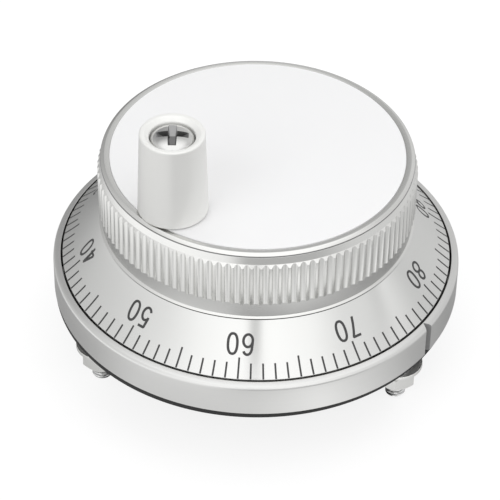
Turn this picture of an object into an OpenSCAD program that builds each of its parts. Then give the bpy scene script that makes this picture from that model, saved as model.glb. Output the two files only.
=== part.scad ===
// Pulse generator handwheel for a machine's control panel.
// The wheel is turned by its fluted rim or by its crank handle, clicks a hundred times
// a turn, and carries a slotted disc between the arms of a photo sensor.
// Origin: centre of the stud circle, on the gasket face that meets the panel.
// +Z points out of the panel towards the wheel, and +Y towards the index notch.

/* [Base] */
// Outer diameter of the bezel
bezel_d = 80; // [78:0.5:90]
// Height of the bezel ring
bezel_h = 7; // [6:0.25:9]
// Wall of the bezel ring at its lip
bezel_wall = 1.45; // [1.3:0.05:2.2]
// Rounding of the bezel's outer edge
bezel_round = 1.2; // [0.5:0.1:1.25]
// Width of the index notch at the bezel's outside
notch_w = 1.8; // [1:0.1:3]
// Thickness of the base's floor
floor_t = 2; // [1.5:0.25:3]
// Wall of the boss that holds the bearings
boss_wall = 2.8; // [2.4:0.1:3.2]
// Height of the stud pads above the floor
pad_h = 2; // [1.5:0.25:2.5]
// Diameter of the stud pads
pad_d = 9; // [7:0.5:9]

/* [Panel fixing] */
// Distance of the studs inside the bezel's edge
stud_inset = 6.5; // [6:0.25:8]
// Number of studs, the first one under the index notch
stud_count = 3; // [3:1:4]
// Outside diameter of a stud's thread
stud_d = 4; // [3:0.5:4]
// Diameter at which the thread bears in the base and in the nut
pitch_d = 3.545; // [2.6:0.005:3.6]
// How far the studs reach behind the panel face
stud_reach = 12.7; // [12.5:0.1:16]
// Room left for the panel between the gasket and the washers
panel_gap = 4.5; // [4.2:0.1:6]
// Thickness of the gasket
gasket_t = 1; // [0.5:0.1:2]
// How far the gasket stays inside the bezel's edge
gasket_inset = 0.4; // [0:0.1:1]
// Clearance of the panel cut-out round the rear housing
cutout_play = 1; // [0.5:0.1:1.4]
// Diameter of the flat washers
washer_d = 10; // [8:0.5:10]
// Thickness of the flat washers
washer_t = 0.8; // [0.5:0.1:1]
// Diameter of the spring washers
spring_washer_d = 7.2; // [6.5:0.1:7.6]
// Thickness of the spring washers
spring_washer_t = 1; // [0.8:0.1:1.1]
// Width across flats of the nuts
nut_af = 7; // [6:0.5:8]
// Height of the nuts
nut_h = 3.2; // [2.4:0.1:3.4]

/* [Dial] */
// Rise of the dial's skirt from its edge to the wheel
dial_rise = 8.7; // [8:0.1:9.5]
// Radius of the hollow curve of the skirt's face
dial_curve_r = 38; // [34:1:60]
// Thickness of the skirt
skirt_t = 1.8; // [1.4:0.1:2]
// Dial number that stands at the index notch
reading = 77; // [0:1:99]

/* [Wheel] */
// Diameter over the flutes' ridges
grip_d = 61.6; // [60:0.1:64]
// How far the plain neck under the flutes lies inside their ridges
neck_step = 0.5; // [0.45:0.05:0.8]
// Height of the neck
neck_h = 3.3; // [2:0.1:4]
// How far the wheel's foot stands out beyond the neck
foot_w = 0.45; // [0.2:0.05:0.6]
// Thickness of the foot
foot_h = 0.2; // [0.15:0.05:0.4]
// Height of the fluted band
grip_h = 8.8; // [6:0.2:9]
// Number of flutes round the wheel
flute_count = 110; // [60:2:120]
// Radius of the cutter that makes a flute
flute_r = 0.75; // [0.6:0.05:0.8]
// Depth of a flute
flute_depth = 0.4; // [0.2:0.05:0.45]
// Height of the bevel above the flutes
shoulder_h = 0.7; // [0.5:0.1:1]
// How far the plain band above the flutes lies inside their ridges
band_step = 0.45; // [0.4:0.05:0.7]
// Width of the bevel round the wheel's top edge
rim_bevel = 0.6; // [0.2:0.1:1]
// Thickness of the wheel's side wall
wheel_wall = 3.3; // [3:0.1:3.6]
// Thickness of the wheel's top plate under the disc
plate_t = 3.2; // [3:0.1:4]
// Width of the metal ring round the white disc
rim_w = 1.95; // [1.4:0.05:4]
// Thickness of the white disc
disc_t = 0.6; // [0.5:0.1:1]
// How far the disc stands above the rim
disc_proud = 0.1; // [0:0.05:0.2]

/* [Crank handle] */
// Distance of the crank handle inside the white disc's edge
crank_inset = 5.2; // [5.1:0.05:5.6]
// Angle of the handle round the dial from its zero mark
crank_angle = 178.5; // [170:0.5:190]
// Diameter of the grip at its base
grip_base_d = 13.3; // [12.6:0.1:14]
// Diameter of the grip at its top
grip_top_d = 12.4; // [12:0.1:13]
// Length of the grip
grip_l = 17.4; // [14:0.1:24]
// Diameter of the well for the screw's head
well_d = 8.6; // [8.4:0.1:9]
// Depth of the well
well_depth = 3.4; // [3:0.1:4]
// Outside diameter of the sleeve that the grip turns on
sleeve_d = 6; // [5.6:0.1:6.4]
// Thread diameter of the crank's screw
crank_screw_d = 4; // [3:0.5:4]
// Diameter of the crank screw's head
crank_head_d = 7.6; // [7:0.1:8]
// Height of the crank screw's head
crank_head_h = 2.4; // [1.8:0.1:2.6]
// Thickness of the washer under the grip
base_washer_t = 0.7; // [0.7:0.05:1]
// Thickness of the washer under the screw's head
top_washer_t = 0.5; // [0.4:0.1:0.8]

/* [Shaft and bearings] */
// Diameter of the shaft in the bearings
shaft_d = 8; // [7.9:0.05:8.1]
// Diameter of the shaft's lower journal, in the disc's hub
journal_d = 6; // [5:0.1:6.4]
// Outer diameter of a bearing
bearing_d = 22; // [21.6:0.1:22.4]
// Width of a bearing
bearing_w = 7; // [6:0.25:8]
// Diameter of a bearing ball
ball_d = 3.969; // [3.6:0.001:4.2]
// Number of balls in a bearing
ball_count = 7; // [5:1:8]
// Distance between the two bearings
spacer_h = 4; // [2:0.25:8]
// Thickness of the retaining ring
circlip_t = 1; // [0.8:0.1:1.2]
// Thread diameter of the screw that clamps the wheel
clamp_screw_d = 5; // [4:0.5:5]

/* [Click mechanism] */
// Number of clicks a turn
click_count = 100; // [50:2:120]
// Diameter over the teeth of the pole plates
pole_d = 31.6; // [30.8:0.1:31.8]
// Depth of the teeth
tooth_depth = 0.45; // [0.3:0.05:0.5]
// Thickness of a pole plate
pole_t = 1.3; // [1:0.1:1.6]
// Thickness of the ring magnet
magnet_t = 1.3; // [1:0.1:2]
// Wall of the toothed ring in the wheel
rotor_wall = 2.05; // [1.8:0.05:2.2]

/* [Encoder] */
// Gap between the code disc and the rear housing's screw posts
code_disc_gap = 0.9; // [0.6:0.1:1.5]
// Thickness of the code disc
code_disc_t = 0.3; // [0.2:0.05:0.5]
// Number of slots in the code disc
slot_count = 100; // [50:5:120]
// Length of a slot
slot_l = 2.6; // [2:0.1:3]
// Drop from the base's underside to the code disc
code_disc_drop = 2.3; // [2.2:0.1:2.6]
// Thickness of the circuit board
board_t = 1.6; // [1.2:0.1:1.8]

/* [Rear housing] */
// Gap between the rear housing and the washers on the studs
housing_gap = 0.5; // [0.4:0.1:1.5]
// How far the housing reaches behind the panel face
housing_depth = 8; // [7.6:0.1:8.1]
// Side wall of the housing
housing_wall = 2; // [1.5:0.1:2.2]
// Floor thickness of the housing
housing_floor_t = 1.6; // [1.4:0.1:1.8]

/* [Terminals] */
// Number of terminals
terminal_count = 6; // [4:1:6]
// Distance between neighbouring terminals
terminal_pitch = 6.35; // [6.2:0.05:6.6]
// Width of the terminal block
block_w = 10; // [9:0.5:12]
// Height of the terminal block
block_h = 4; // [4:0.1:4.2]
// Distance of the terminal block from the axis
block_offset = 9; // [8:0.5:11]
// Thickness of the ribs between the terminals
rib_t = 1.2; // [0.8:0.1:1.4]
// Thickness of a terminal plate
tag_t = 0.8; // [0.5:0.1:0.9]

/* [Fits] */
// Gap round the dial inside the bezel
dial_gap = 0.5; // [0.3:0.05:0.8]
// Air gap between the two rows of click teeth
air_gap = 0.3; // [0.2:0.05:0.4]
// Running clearance of the grip on its sleeve, on the radius
grip_play = 0.08; // [0.04:0.01:0.1]
// End play of the grip between its washers
end_play = 0.1; // [0.1:0.05:0.2]
// Clearance of a bearing ball in its races
race_play = 0.045; // [0.03:0.005:0.08]

/* [Hidden] */
$fn = 96;
EPS = 0.01;

// levels, from the panel face upwards
base_z = gasket_t;
floor_z = base_z + floor_t;
pad_top_z = floor_z + pad_h;
bezel_z = base_z + bezel_h;
upper_bearing_z = floor_z + bearing_w + spacer_h;
circlip_z = upper_bearing_z + bearing_w;
boss_lip = 1.5;
boss_z = circlip_z + circlip_t + boss_lip;
click_h = 2 * pole_t + magnet_t;
plate_gap = 0.7;
plate_z = boss_z + click_h + plate_gap;
disc_z = plate_z + plate_t;
rim_z = disc_z + disc_t - disc_proud;
dial_lift = 0.1;
dial_z = bezel_z + dial_lift;
dial_top_z = dial_z + dial_rise;
seat_z = dial_top_z - foot_h;
grip_z = dial_top_z + neck_h;
shoulder_z = grip_z + grip_h;
band_z = shoulder_z + shoulder_h;

// radii of the main rings
bezel_r = bezel_d / 2;
lip_r = bezel_r - bezel_wall;
dial_r = lip_r - dial_gap;
grip_r = grip_d / 2;
neck_r = grip_r - neck_step;
band_r = grip_r - band_step;
wheel_bore_r = neck_r - wheel_wall;
disc_r = band_r - rim_w;
disc_seat_r = disc_r + 0.05;
boss_r = bearing_d / 2 + boss_wall;
ball_r = ball_d / 2;
pitch_r = (shaft_d + bearing_d) / 4;
rotor_r = pole_d / 2 + air_gap + rotor_wall;

// places round the axis
zero_angle = 90 - reading * 3.6;
crank_a = zero_angle + crank_angle;
crank_r = disc_r - crank_inset;
stud_circle_d = bezel_d - 2 * stud_inset;
housing_d = stud_circle_d - washer_d - 2 * housing_gap;
cutout_d = housing_d + 2 * cutout_play;
post_r = 4;
housing_screw_a = 30;
housing_screw_r = housing_d / 2 - post_r - 0.1;
skirt_screw_r = (wheel_bore_r + neck_r) / 2 - 0.35;
skirt_screw_a = crank_a + 60;
click_screw_r = (bearing_d / 2 + boss_r) / 2;

// ---- shared shapes ----

// A tube that stands on z0.
module tube(outer_r, inner_r, z0, h) {
  translate([0, 0, z0])
    difference() {
      cylinder(r = outer_r, h = h);
      translate([0, 0, -EPS])
        cylinder(r = inner_r, h = h + 2 * EPS);
    }
}

// Copies of its children round the Z axis at radius r, the first one at angle a.
module ring_of(count, r, a) {
  for (i = [0 : count - 1])
    rotate([0, 0, a + i * 360 / count])
      translate([r, 0, 0])
        children();
}

// A cross recess cut down into a screw's head whose top is at z0.
module cross_recess(span, width, depth, z0) {
  for (a = [0, 90])
    rotate([0, 0, a])
      translate([-span / 2, -width / 2, z0 - depth])
        cube([span, width, depth + EPS]);
}

// A screw with a low domed head that sits on z0 and a shank that runs down from it.
module pan_screw(shank_r, shank_l, head_r, head_h, z0) {
  edge = head_h * 0.45;
  difference() {
    translate([0, 0, z0])
      rotate_extrude()
        polygon([[0, -shank_l], [shank_r - shank_r / 6, -shank_l], [shank_r, -shank_l + shank_r / 6],
          [shank_r, 0], [head_r, 0], [head_r, head_h - edge], [head_r - edge / 2, head_h - edge / 3],
          [head_r - edge * 1.4, head_h], [0, head_h]]);
    cross_recess(head_r * 1.15, head_r * 0.28, head_h * 0.55, z0 + head_h);
  }
}

// ---- base, gasket and panel fixing ----

// Section of the base: floor, bezel ring and the boss that holds the bearings.
module base_section() {
  round_c = bezel_r - bezel_round;
  shoulder_r = bearing_d / 2 - 1.5;
  difference() {
    union() {
      translate([shoulder_r, base_z])
        square([bezel_r - shoulder_r, floor_t]);
      translate([lip_r, base_z])
        square([bezel_wall, bezel_h - bezel_round]);
      translate([lip_r, base_z])
        square([round_c - lip_r, bezel_h]);
      intersection() {
        translate([round_c, bezel_z - bezel_round])
          circle(r = bezel_round);
        translate([lip_r, base_z])
          square([bezel_wall, bezel_h]);
      }
      translate([shoulder_r, base_z])
        square([boss_r - shoulder_r, boss_z - base_z]);
      polygon([[boss_r - EPS, floor_z - EPS], [boss_r + 3, floor_z - EPS], [boss_r - EPS, floor_z + 4]]);
    }
    translate([0, floor_z])
      square([bearing_d / 2, boss_z]);
    translate([0, circlip_z])
      square([bearing_d / 2 + circlip_t * 0.6, circlip_t]);
  }
}

// The index notch: a vee that opens through the bezel's wall and lip.
module index_notch() {
  translate([0, 0, base_z - EPS])
    linear_extrude(bezel_h + 2 * EPS)
      polygon([[0, lip_r - 0.15], [notch_w / 2, bezel_r], [notch_w / 2, bezel_r + 1],
        [-notch_w / 2, bezel_r + 1], [-notch_w / 2, bezel_r]]);
}

// The turned aluminium dish that everything is built on.
module bezel_base() {
  color("gainsboro")
    difference() {
      union() {
        rotate_extrude($fn = 180)
          base_section();
        ring_of(stud_count, stud_circle_d / 2, 90)
          translate([0, 0, floor_z - EPS])
            cylinder(d = pad_d, h = pad_h + EPS);
      }
      ring_of(stud_count, stud_circle_d / 2, 90)
        translate([0, 0, -EPS])
          cylinder(d = pitch_d, h = pad_top_z + 1, $fn = 48);
      ring_of(3, housing_screw_r, housing_screw_a)
        translate([0, 0, base_z - EPS])
          cylinder(r = housing_screw_shank_r, h = floor_t + 2 * EPS, $fn = 48);
      ring_of(3, click_screw_r, 90)
        translate([0, 0, boss_z - click_screw_bite])
          cylinder(r = click_screw_shank_r, h = click_screw_bite + EPS, $fn = 48);
      index_notch();
    }
}

// The rubber ring that seals the base on the panel.
module gasket() {
  color([0.08, 0.08, 0.08])
    difference() {
      tube(bezel_r - gasket_inset, cutout_d / 2, 0, gasket_t);
      ring_of(stud_count, stud_circle_d / 2, 90)
        translate([0, 0, -EPS])
          cylinder(d = stud_d + 1.4, h = gasket_t + 2 * EPS, $fn = 48);
    }
}

// A stud: screwed into its pad, full diameter in the panel's hole, and threaded for its nut.
module panel_studs() {
  tip = 0.6;
  color("silver")
    ring_of(stud_count, stud_circle_d / 2, 90) {
      cylinder(d = pitch_d, h = pad_top_z, $fn = 48);
      translate([0, 0, -panel_gap])
        cylinder(d = stud_d, h = panel_gap, $fn = 48);
      translate([0, 0, tip - stud_reach])
        cylinder(d = pitch_d, h = stud_reach - tip, $fn = 48);
      translate([0, 0, -stud_reach])
        cylinder(d1 = pitch_d - 2 * tip, d2 = pitch_d, h = tip, $fn = 48);
    }
}

module flat_washers() {
  color("silver")
    ring_of(stud_count, stud_circle_d / 2, 90)
      tube(washer_d / 2, pitch_d / 2 + 0.3, -panel_gap - washer_t, washer_t);
}

// Split rings with a sloping gap.
module spring_washers() {
  gap_w = 0.7;
  z0 = -panel_gap - washer_t - spring_washer_t;
  color("darkgray")
    ring_of(stud_count, stud_circle_d / 2, 90)
      difference() {
        tube(spring_washer_d / 2, pitch_d / 2 + 0.25, z0, spring_washer_t);
        translate([0, 0, z0 + spring_washer_t / 2])
          rotate([35, 0, 0])
            translate([0, -gap_w / 2, -spring_washer_t * 2])
              cube([spring_washer_d, gap_w, spring_washer_t * 4]);
      }
}

// Hexagons with both corners broken by a cone.
module hex_nuts() {
  z0 = -panel_gap - washer_t - spring_washer_t - nut_h;
  corner_r = nut_af / sqrt(3);
  rise = 0.35;
  color("silver")
    ring_of(stud_count, stud_circle_d / 2, 90)
      translate([0, 0, z0])
        difference() {
          intersection() {
            cylinder(r = corner_r, h = nut_h, $fn = 6);
            rotate_extrude()
              polygon([[0, 0], [corner_r - rise * 1.6, 0], [corner_r, rise], [corner_r, nut_h - rise],
                [corner_r - rise * 1.6, nut_h], [0, nut_h]]);
          }
          translate([0, 0, -EPS])
            cylinder(d = pitch_d, h = nut_h + 2 * EPS, $fn = 48);
        }
}

// ---- bearings ----

// Section through one bearing ring, from wall radius r0 to r1, with the ball groove cut in it.
module race_section(r0, r1) {
  edge = 0.3;
  difference() {
    polygon([[r0 + edge, 0], [r1 - edge, 0], [r1, edge], [r1, bearing_w - edge], [r1 - edge, bearing_w],
      [r0 + edge, bearing_w], [r0, bearing_w - edge], [r0, edge]]);
    translate([pitch_r, bearing_w / 2])
      circle(r = ball_r + race_play);
  }
}

ring_gap = 1.5;

module outer_ring(z0) {
  color("lightgray")
    translate([0, 0, z0])
      rotate_extrude()
        race_section(pitch_r + ring_gap, bearing_d / 2);
}

module inner_ring(z0) {
  color("lightgray")
    translate([0, 0, z0])
      rotate_extrude()
        race_section(shaft_d / 2, pitch_r - ring_gap);
}

module balls(z0) {
  color("white")
    ring_of(ball_count, pitch_r, 90)
      translate([0, 0, z0 + bearing_w / 2])
        sphere(r = ball_r, $fn = 48);
}

// A crown cage: a thin ring beside the balls with a pocket round each.
module cage(z0) {
  half_w = 0.75;
  back = ball_r + 0.5;
  color("goldenrod")
    difference() {
      tube(pitch_r + half_w, pitch_r - half_w, z0 + bearing_w / 2 - 0.8, back + 0.8);
      ring_of(ball_count, pitch_r, 90)
        translate([0, 0, z0 + bearing_w / 2])
          sphere(r = ball_r + race_play, $fn = 48);
    }
}

module lower_outer_ring() { outer_ring(floor_z); }
module upper_outer_ring() { outer_ring(upper_bearing_z); }
module lower_inner_ring() { inner_ring(floor_z); }
module upper_inner_ring() { inner_ring(upper_bearing_z); }
module lower_balls() { balls(floor_z); }
module upper_balls() { balls(upper_bearing_z); }
module lower_cage() { cage(floor_z); }
module upper_cage() { cage(upper_bearing_z); }

module outer_spacer() {
  color("gray")
    tube(bearing_d / 2, pitch_r + ring_gap + 0.3, floor_z + bearing_w, spacer_h);
}

module inner_spacer() {
  color("gray")
    tube(pitch_r - ring_gap - 0.3, shaft_d / 2, floor_z + bearing_w, spacer_h);
}

// The retaining ring that snaps into the boss over the upper bearing, with two eyes.
module bearing_circlip() {
  outer_r = bearing_d / 2 + circlip_t * 0.6;
  open_a = 18;
  eye_r = 1.2;
  eye_at = outer_r - 2.3;
  color("dimgray")
    translate([0, 0, circlip_z])
      difference() {
        union() {
          tube(outer_r, outer_r - 1.9, 0, circlip_t);
          for (s = [-1, 1])
            rotate([0, 0, s * (open_a + 4)])
              translate([eye_at, 0, 0])
                cylinder(r = eye_r, h = circlip_t, $fn = 36);
        }
        translate([0, 0, -EPS])
          linear_extrude(circlip_t + 2 * EPS)
            polygon([[0, 0], 2 * outer_r * [cos(open_a), sin(open_a)], 2 * outer_r * [cos(open_a), -sin(open_a)]]);
        for (s = [-1, 1])
          rotate([0, 0, s * (open_a + 4)])
            translate([eye_at, 0, -EPS])
              cylinder(r = eye_r / 2, h = circlip_t + 2 * EPS, $fn = 36);
      }
}

// ---- shaft and wheel ----

collar_h = floor_z - base_z - 0.2;
collar_z = floor_z - collar_h;
hub_top_z = collar_z;
collar_r = pitch_r - ring_gap - 0.4;
journal_z = base_z - code_disc_drop - 2.5;
clamp_depth = 3;
clamp_z = disc_z - clamp_depth;
shaft_top_z = clamp_z - 0.2;
clamp_bite = 11;
clamp_washer_r = 6.2;
clamp_washer_t = 0.8;
crank_boss_h = 3;

// A steel shaft: lower journal, collar under the bearings, and a tapped top end.
module shaft() {
  tip = 0.3;
  main_r = shaft_d / 2;
  color("silver")
    difference() {
      rotate_extrude()
        polygon([[0, journal_z], [journal_d / 2 - tip, journal_z], [journal_d / 2, journal_z + tip],
          [journal_d / 2, collar_z], [collar_r, collar_z], [collar_r, floor_z], [main_r, floor_z],
          [main_r, shaft_top_z - tip], [main_r - tip, shaft_top_z], [0, shaft_top_z]]);
      translate([0, 0, clamp_z - clamp_bite])
        cylinder(d = clamp_screw_d, h = clamp_bite + 1, $fn = 48);
    }
}

// Section of the wheel: hub, top plate, side wall, and the outside from neck to rim.
module wheel_section() {
  nose_r = collar_r;
  hub_r = bearing_d / 2 - 2;
  lip_h = 1.5;
  lip_t = 1.2;
  hub_z = circlip_z + circlip_t + 0.6;
  polygon([[shaft_d / 2, circlip_z], [nose_r, circlip_z], [nose_r, hub_z], [hub_r, hub_z], [hub_r, plate_z],
      [rotor_r, plate_z], [rotor_r, plate_z - lip_h], [rotor_r + lip_t, plate_z - lip_h], [rotor_r + lip_t, plate_z],
      [wheel_bore_r - 1, plate_z], [wheel_bore_r, plate_z - 1], [wheel_bore_r, seat_z],
      [neck_r + foot_w, seat_z], [neck_r + foot_w, dial_top_z], [neck_r, dial_top_z], [neck_r, grip_z],
      [grip_r - 0.15, grip_z], [grip_r, grip_z + 0.15],
      [grip_r, shoulder_z], [band_r, band_z], [band_r - 0.15, rim_z - rim_bevel * 0.75],
      [band_r - 0.15 - rim_bevel, rim_z], [disc_seat_r, rim_z], [disc_seat_r, disc_z],
      [clamp_washer_r + 0.3, disc_z], [clamp_washer_r + 0.3, clamp_z], [shaft_d / 2, clamp_z]]);
}

// Straight flutes that a round cutter leaves in the band, open at its lower edge.
module flutes() {
  cutter_at = grip_r - flute_depth + flute_r;
  ring_of(flute_count, cutter_at, crank_a)
    translate([0, 0, grip_z - EPS])
      cylinder(r = flute_r, h = grip_h + shoulder_h, $fn = 24);
}

module hand_wheel() {
  crank_boss_r = 4.2;
  rotor_room = 0.4;
  color("gainsboro")
    difference() {
      union() {
        rotate_extrude($fn = 180)
          wheel_section();
        difference() {
          ring_of(1, crank_r, crank_a)
            translate([0, 0, plate_z - crank_boss_h])
              cylinder(r = crank_boss_r, h = crank_boss_h + EPS);
          translate([0, 0, plate_z - crank_boss_h - EPS])
            cylinder(r = rotor_r + rotor_room, h = crank_boss_h);
        }
      }
      flutes();
      ring_of(1, crank_r, crank_a)
        translate([0, 0, plate_z - crank_boss_h - EPS])
          cylinder(d = crank_screw_d, h = crank_boss_h + plate_t + 2 * EPS, $fn = 48);
      ring_of(3, skirt_screw_r, skirt_screw_a)
        translate([0, 0, seat_z - EPS])
          cylinder(r = skirt_screw_shank_r, h = skirt_screw_bite + EPS, $fn = 48);
    }
}

module wheel_washer() {
  color("silver")
    tube(clamp_washer_r, clamp_screw_d / 2 + 0.15, clamp_z, clamp_washer_t);
}

module wheel_screw() {
  color("silver")
    pan_screw(clamp_screw_d / 2, clamp_bite, 4.4, clamp_depth - clamp_washer_t - 0.2, clamp_z + clamp_washer_t);
}

// ---- dial skirt ----

skirt_screw_shank_r = 1;
skirt_screw_bite = 4.5;
skirt_head_r = 1.9;
skirt_head_h = 1.2;
skirt_spot_depth = 0.2;
flange_t = 1.8;
spigot_t = 2;
spigot_h = 2.5;

// Centre of the face's hollow curve, from its two ends and its radius.
face_a = [dial_r, dial_z];
face_b = [neck_r, dial_top_z];
face_span = norm(face_b - face_a);
face_normal = [face_b[1] - face_a[1], face_a[0] - face_b[0]] / face_span;
face_centre = (face_a + face_b) / 2 + face_normal * sqrt(pow(dial_curve_r, 2) - pow(face_span / 2, 2));

module skirt_section() {
  intersection() {
    translate(face_centre)
      difference() {
        circle(r = dial_curve_r + skirt_t, $fn = 240);
        circle(r = dial_curve_r, $fn = 240);
      }
    translate([wheel_bore_r, pad_top_z + dial_lift])
      square([dial_r - wheel_bore_r, seat_z - pad_top_z - dial_lift]);
  }
  translate([wheel_bore_r - spigot_t, seat_z - flange_t])
    square([neck_r - wheel_bore_r + spigot_t - 0.6, flange_t]);
  translate([wheel_bore_r - spigot_t, seat_z - flange_t])
    square([spigot_t, flange_t + spigot_h]);
}

// The hollow cone that carries the graduations, let into the wheel from below.
module dial_skirt() {
  color("lightgray")
    difference() {
      rotate_extrude($fn = 180)
        skirt_section();
      ring_of(3, skirt_screw_r, skirt_screw_a) {
        translate([0, 0, seat_z - flange_t - 2])
          cylinder(r = skirt_screw_shank_r, h = flange_t + 3, $fn = 48);
        translate([0, 0, seat_z - flange_t - 3])
          cylinder(r = skirt_head_r + 0.2, h = 3 + skirt_spot_depth, $fn = 48);
      }
    }
}

module skirt_screws() {
  color("silver")
    ring_of(3, skirt_screw_r, skirt_screw_a)
      translate([0, 0, seat_z - flange_t + skirt_spot_depth])
        rotate([180, 0, 0])
          pan_screw(skirt_screw_shank_r, flange_t - skirt_spot_depth + skirt_screw_bite - 0.5, skirt_head_r,
            skirt_head_h, 0);
}

// The white disc, with a hole round the crank's foot.
module top_disc() {
  color("white")
    difference() {
      translate([0, 0, disc_z])
        cylinder(r = disc_r, h = disc_t, $fn = 180);
      ring_of(1, crank_r, crank_a)
        translate([0, 0, disc_z - EPS])
          cylinder(r = base_washer_r + 0.2, h = disc_t + 2 * EPS);
    }
}

// ---- click mechanism ----

click_screw_shank_r = 0.8;
click_screw_head_r = 1.5;
click_screw_bite = 3;
click_bore_r = bearing_d / 2 - 0.4;

// Outline with blunt teeth: root radius, tip radius and the number of teeth.
function toothed(root, tip, count) = [for (i = [0 : count - 1], k = [0 : 3])
  let (a = 360 / count * (i + [-0.3, -0.2, 0.2, 0.3][k]), r = (k == 0 || k == 3) ? root : tip)
  r * [cos(a), sin(a)]];

module pole_plate(z0) {
  tip = pole_d / 2;
  difference() {
    translate([0, 0, z0])
      rotate([0, 0, 90])
        linear_extrude(pole_t)
          polygon(toothed(tip - tooth_depth, tip, click_count));
    translate([0, 0, z0 - EPS])
      cylinder(r = click_bore_r, h = pole_t + 2 * EPS);
    ring_of(3, click_screw_r, 90)
      translate([0, 0, z0 - EPS])
        cylinder(r = click_screw_shank_r, h = pole_t + 2 * EPS, $fn = 48);
  }
}

module click_lower_pole() {
  color("slategray")
    pole_plate(boss_z);
}

module click_magnet() {
  color([0.2, 0.2, 0.22])
    difference() {
      tube(boss_r, click_bore_r, boss_z + pole_t, magnet_t);
      ring_of(3, click_screw_r, 90)
        translate([0, 0, boss_z + pole_t - EPS])
          cylinder(r = click_screw_shank_r, h = magnet_t + 2 * EPS, $fn = 48);
    }
}

module click_upper_pole() {
  color("slategray")
    difference() {
      pole_plate(boss_z + pole_t + magnet_t);
      ring_of(3, click_screw_r, 90)
        translate([0, 0, boss_z + click_h - 0.7])
          cylinder(r1 = click_screw_shank_r, r2 = click_screw_head_r + 0.02, h = 0.7 + EPS, $fn = 48);
    }
}

// Countersunk screws that hold both pole plates and the magnet on the boss.
module click_screws() {
  top = boss_z + click_h;
  color("silver")
    ring_of(3, click_screw_r, 90)
      rotate_extrude($fn = 48)
        polygon([[0, boss_z - click_screw_bite + 0.3], [click_screw_shank_r, boss_z - click_screw_bite + 0.3],
          [click_screw_shank_r, top - 0.7], [click_screw_head_r, top], [0, top]]);
}

// The soft-iron ring pressed into the wheel, with one inward tooth for each click.
module click_rotor() {
  tip = pole_d / 2 + air_gap;
  color("slategray")
    translate([0, 0, boss_z])
      difference() {
        cylinder(r = rotor_r, h = click_h + plate_gap, $fn = 120);
        translate([0, 0, -EPS])
          rotate([0, 0, 90 + 180 / click_count])
            linear_extrude(click_h + plate_gap + 2 * EPS)
              polygon(toothed(tip, tip + tooth_depth, click_count));
      }
}

// ---- crank handle ----

base_washer_r = 5;
foot_z = disc_z + base_washer_t;
grip_foot_z = foot_z + end_play;
grip_head_z = grip_foot_z + grip_l;
well_z = grip_head_z - well_depth;
sleeve_top_z = well_z + end_play;
crank_screw_play = 0.1;

module at_crank() {
  ring_of(1, crank_r, crank_a)
    children();
}

module handle_base_washer() {
  color("ivory")
    at_crank()
      tube(base_washer_r, sleeve_d / 2, disc_z, base_washer_t);
}

module handle_sleeve() {
  color("silver")
    at_crank()
      tube(sleeve_d / 2, crank_screw_d / 2 + crank_screw_play, disc_z, sleeve_top_z - disc_z);
}

// The tapered grip, with a bore for the sleeve and a bevelled well for the screw's head.
module handle_grip() {
  base_r = grip_base_d / 2;
  top_r = grip_top_d / 2;
  edge = 0.5;
  mouth = 0.9;
  bore_r = sleeve_d / 2 + grip_play;
  color("lightgray")
    at_crank()
      rotate_extrude()
        polygon([[bore_r, grip_foot_z], [base_r - edge, grip_foot_z], [base_r, grip_foot_z + edge],
          [top_r + 0.02, grip_head_z - edge], [top_r - edge * 0.3, grip_head_z - edge * 0.3],
          [top_r - edge, grip_head_z], [well_d / 2 + mouth, grip_head_z],
          [well_d / 2, grip_head_z - mouth * 0.8], [well_d / 2, well_z], [bore_r, well_z]]);
}

module handle_washer() {
  color("silver")
    at_crank()
      tube(crank_head_d / 2 + 0.2, crank_screw_d / 2 + crank_screw_play, sleeve_top_z, top_washer_t);
}

module handle_screw() {
  head_z = sleeve_top_z + top_washer_t;
  color("silver")
    at_crank()
      pan_screw(crank_screw_d / 2, head_z - plate_z + crank_boss_h - 0.3, crank_head_d / 2, crank_head_h, head_z);
}

// ---- encoder ----

code_z = base_z - code_disc_drop;
hub_flange_r = 7.5;
hub_flange_t = 1.2;
hub_tube_r = journal_d / 2 + 2;
clamp_ring_t = 0.8;
set_screw_r = 0.6;
set_screw_z = journal_z + 0.9;

// Brass hub on the shaft's lower journal; the disc sits against its flange from below.
module disc_hub() {
  color("goldenrod")
    difference() {
      union() {
        tube(hub_tube_r, journal_d / 2, journal_z, hub_top_z - journal_z);
        tube(hub_flange_r, journal_d / 2, code_z, hub_flange_t);
      }
      translate([journal_d / 2 - 0.5, 0, set_screw_z])
        rotate([0, 90, 0])
          cylinder(r = set_screw_r, h = hub_tube_r, $fn = 36);
    }
}

code_disc_d = 2 * (housing_screw_r - post_r - code_disc_gap);

module code_disc() {
  track_r = code_disc_d / 2 - 0.8;
  slot_w = PI * (2 * track_r - slot_l) / slot_count / 2;
  color([0.55, 0.56, 0.58])
    difference() {
      tube(code_disc_d / 2, hub_tube_r, code_z - code_disc_t, code_disc_t);
      ring_of(slot_count, track_r - slot_l, 90)
        translate([0, -slot_w / 2, code_z - code_disc_t - EPS])
          cube([slot_l, slot_w, code_disc_t + 2 * EPS]);
    }
}

module disc_clamp() {
  color("goldenrod")
    tube(hub_flange_r, hub_tube_r, code_z - code_disc_t - clamp_ring_t, clamp_ring_t);
}

module hub_set_screw() {
  color("dimgray")
    translate([journal_d / 2, 0, set_screw_z])
      rotate([0, 90, 0])
        cylinder(r = set_screw_r, h = hub_tube_r - journal_d / 2, $fn = 36);
}

sensor_back = 2.8;
sensor_w = 8;

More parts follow.
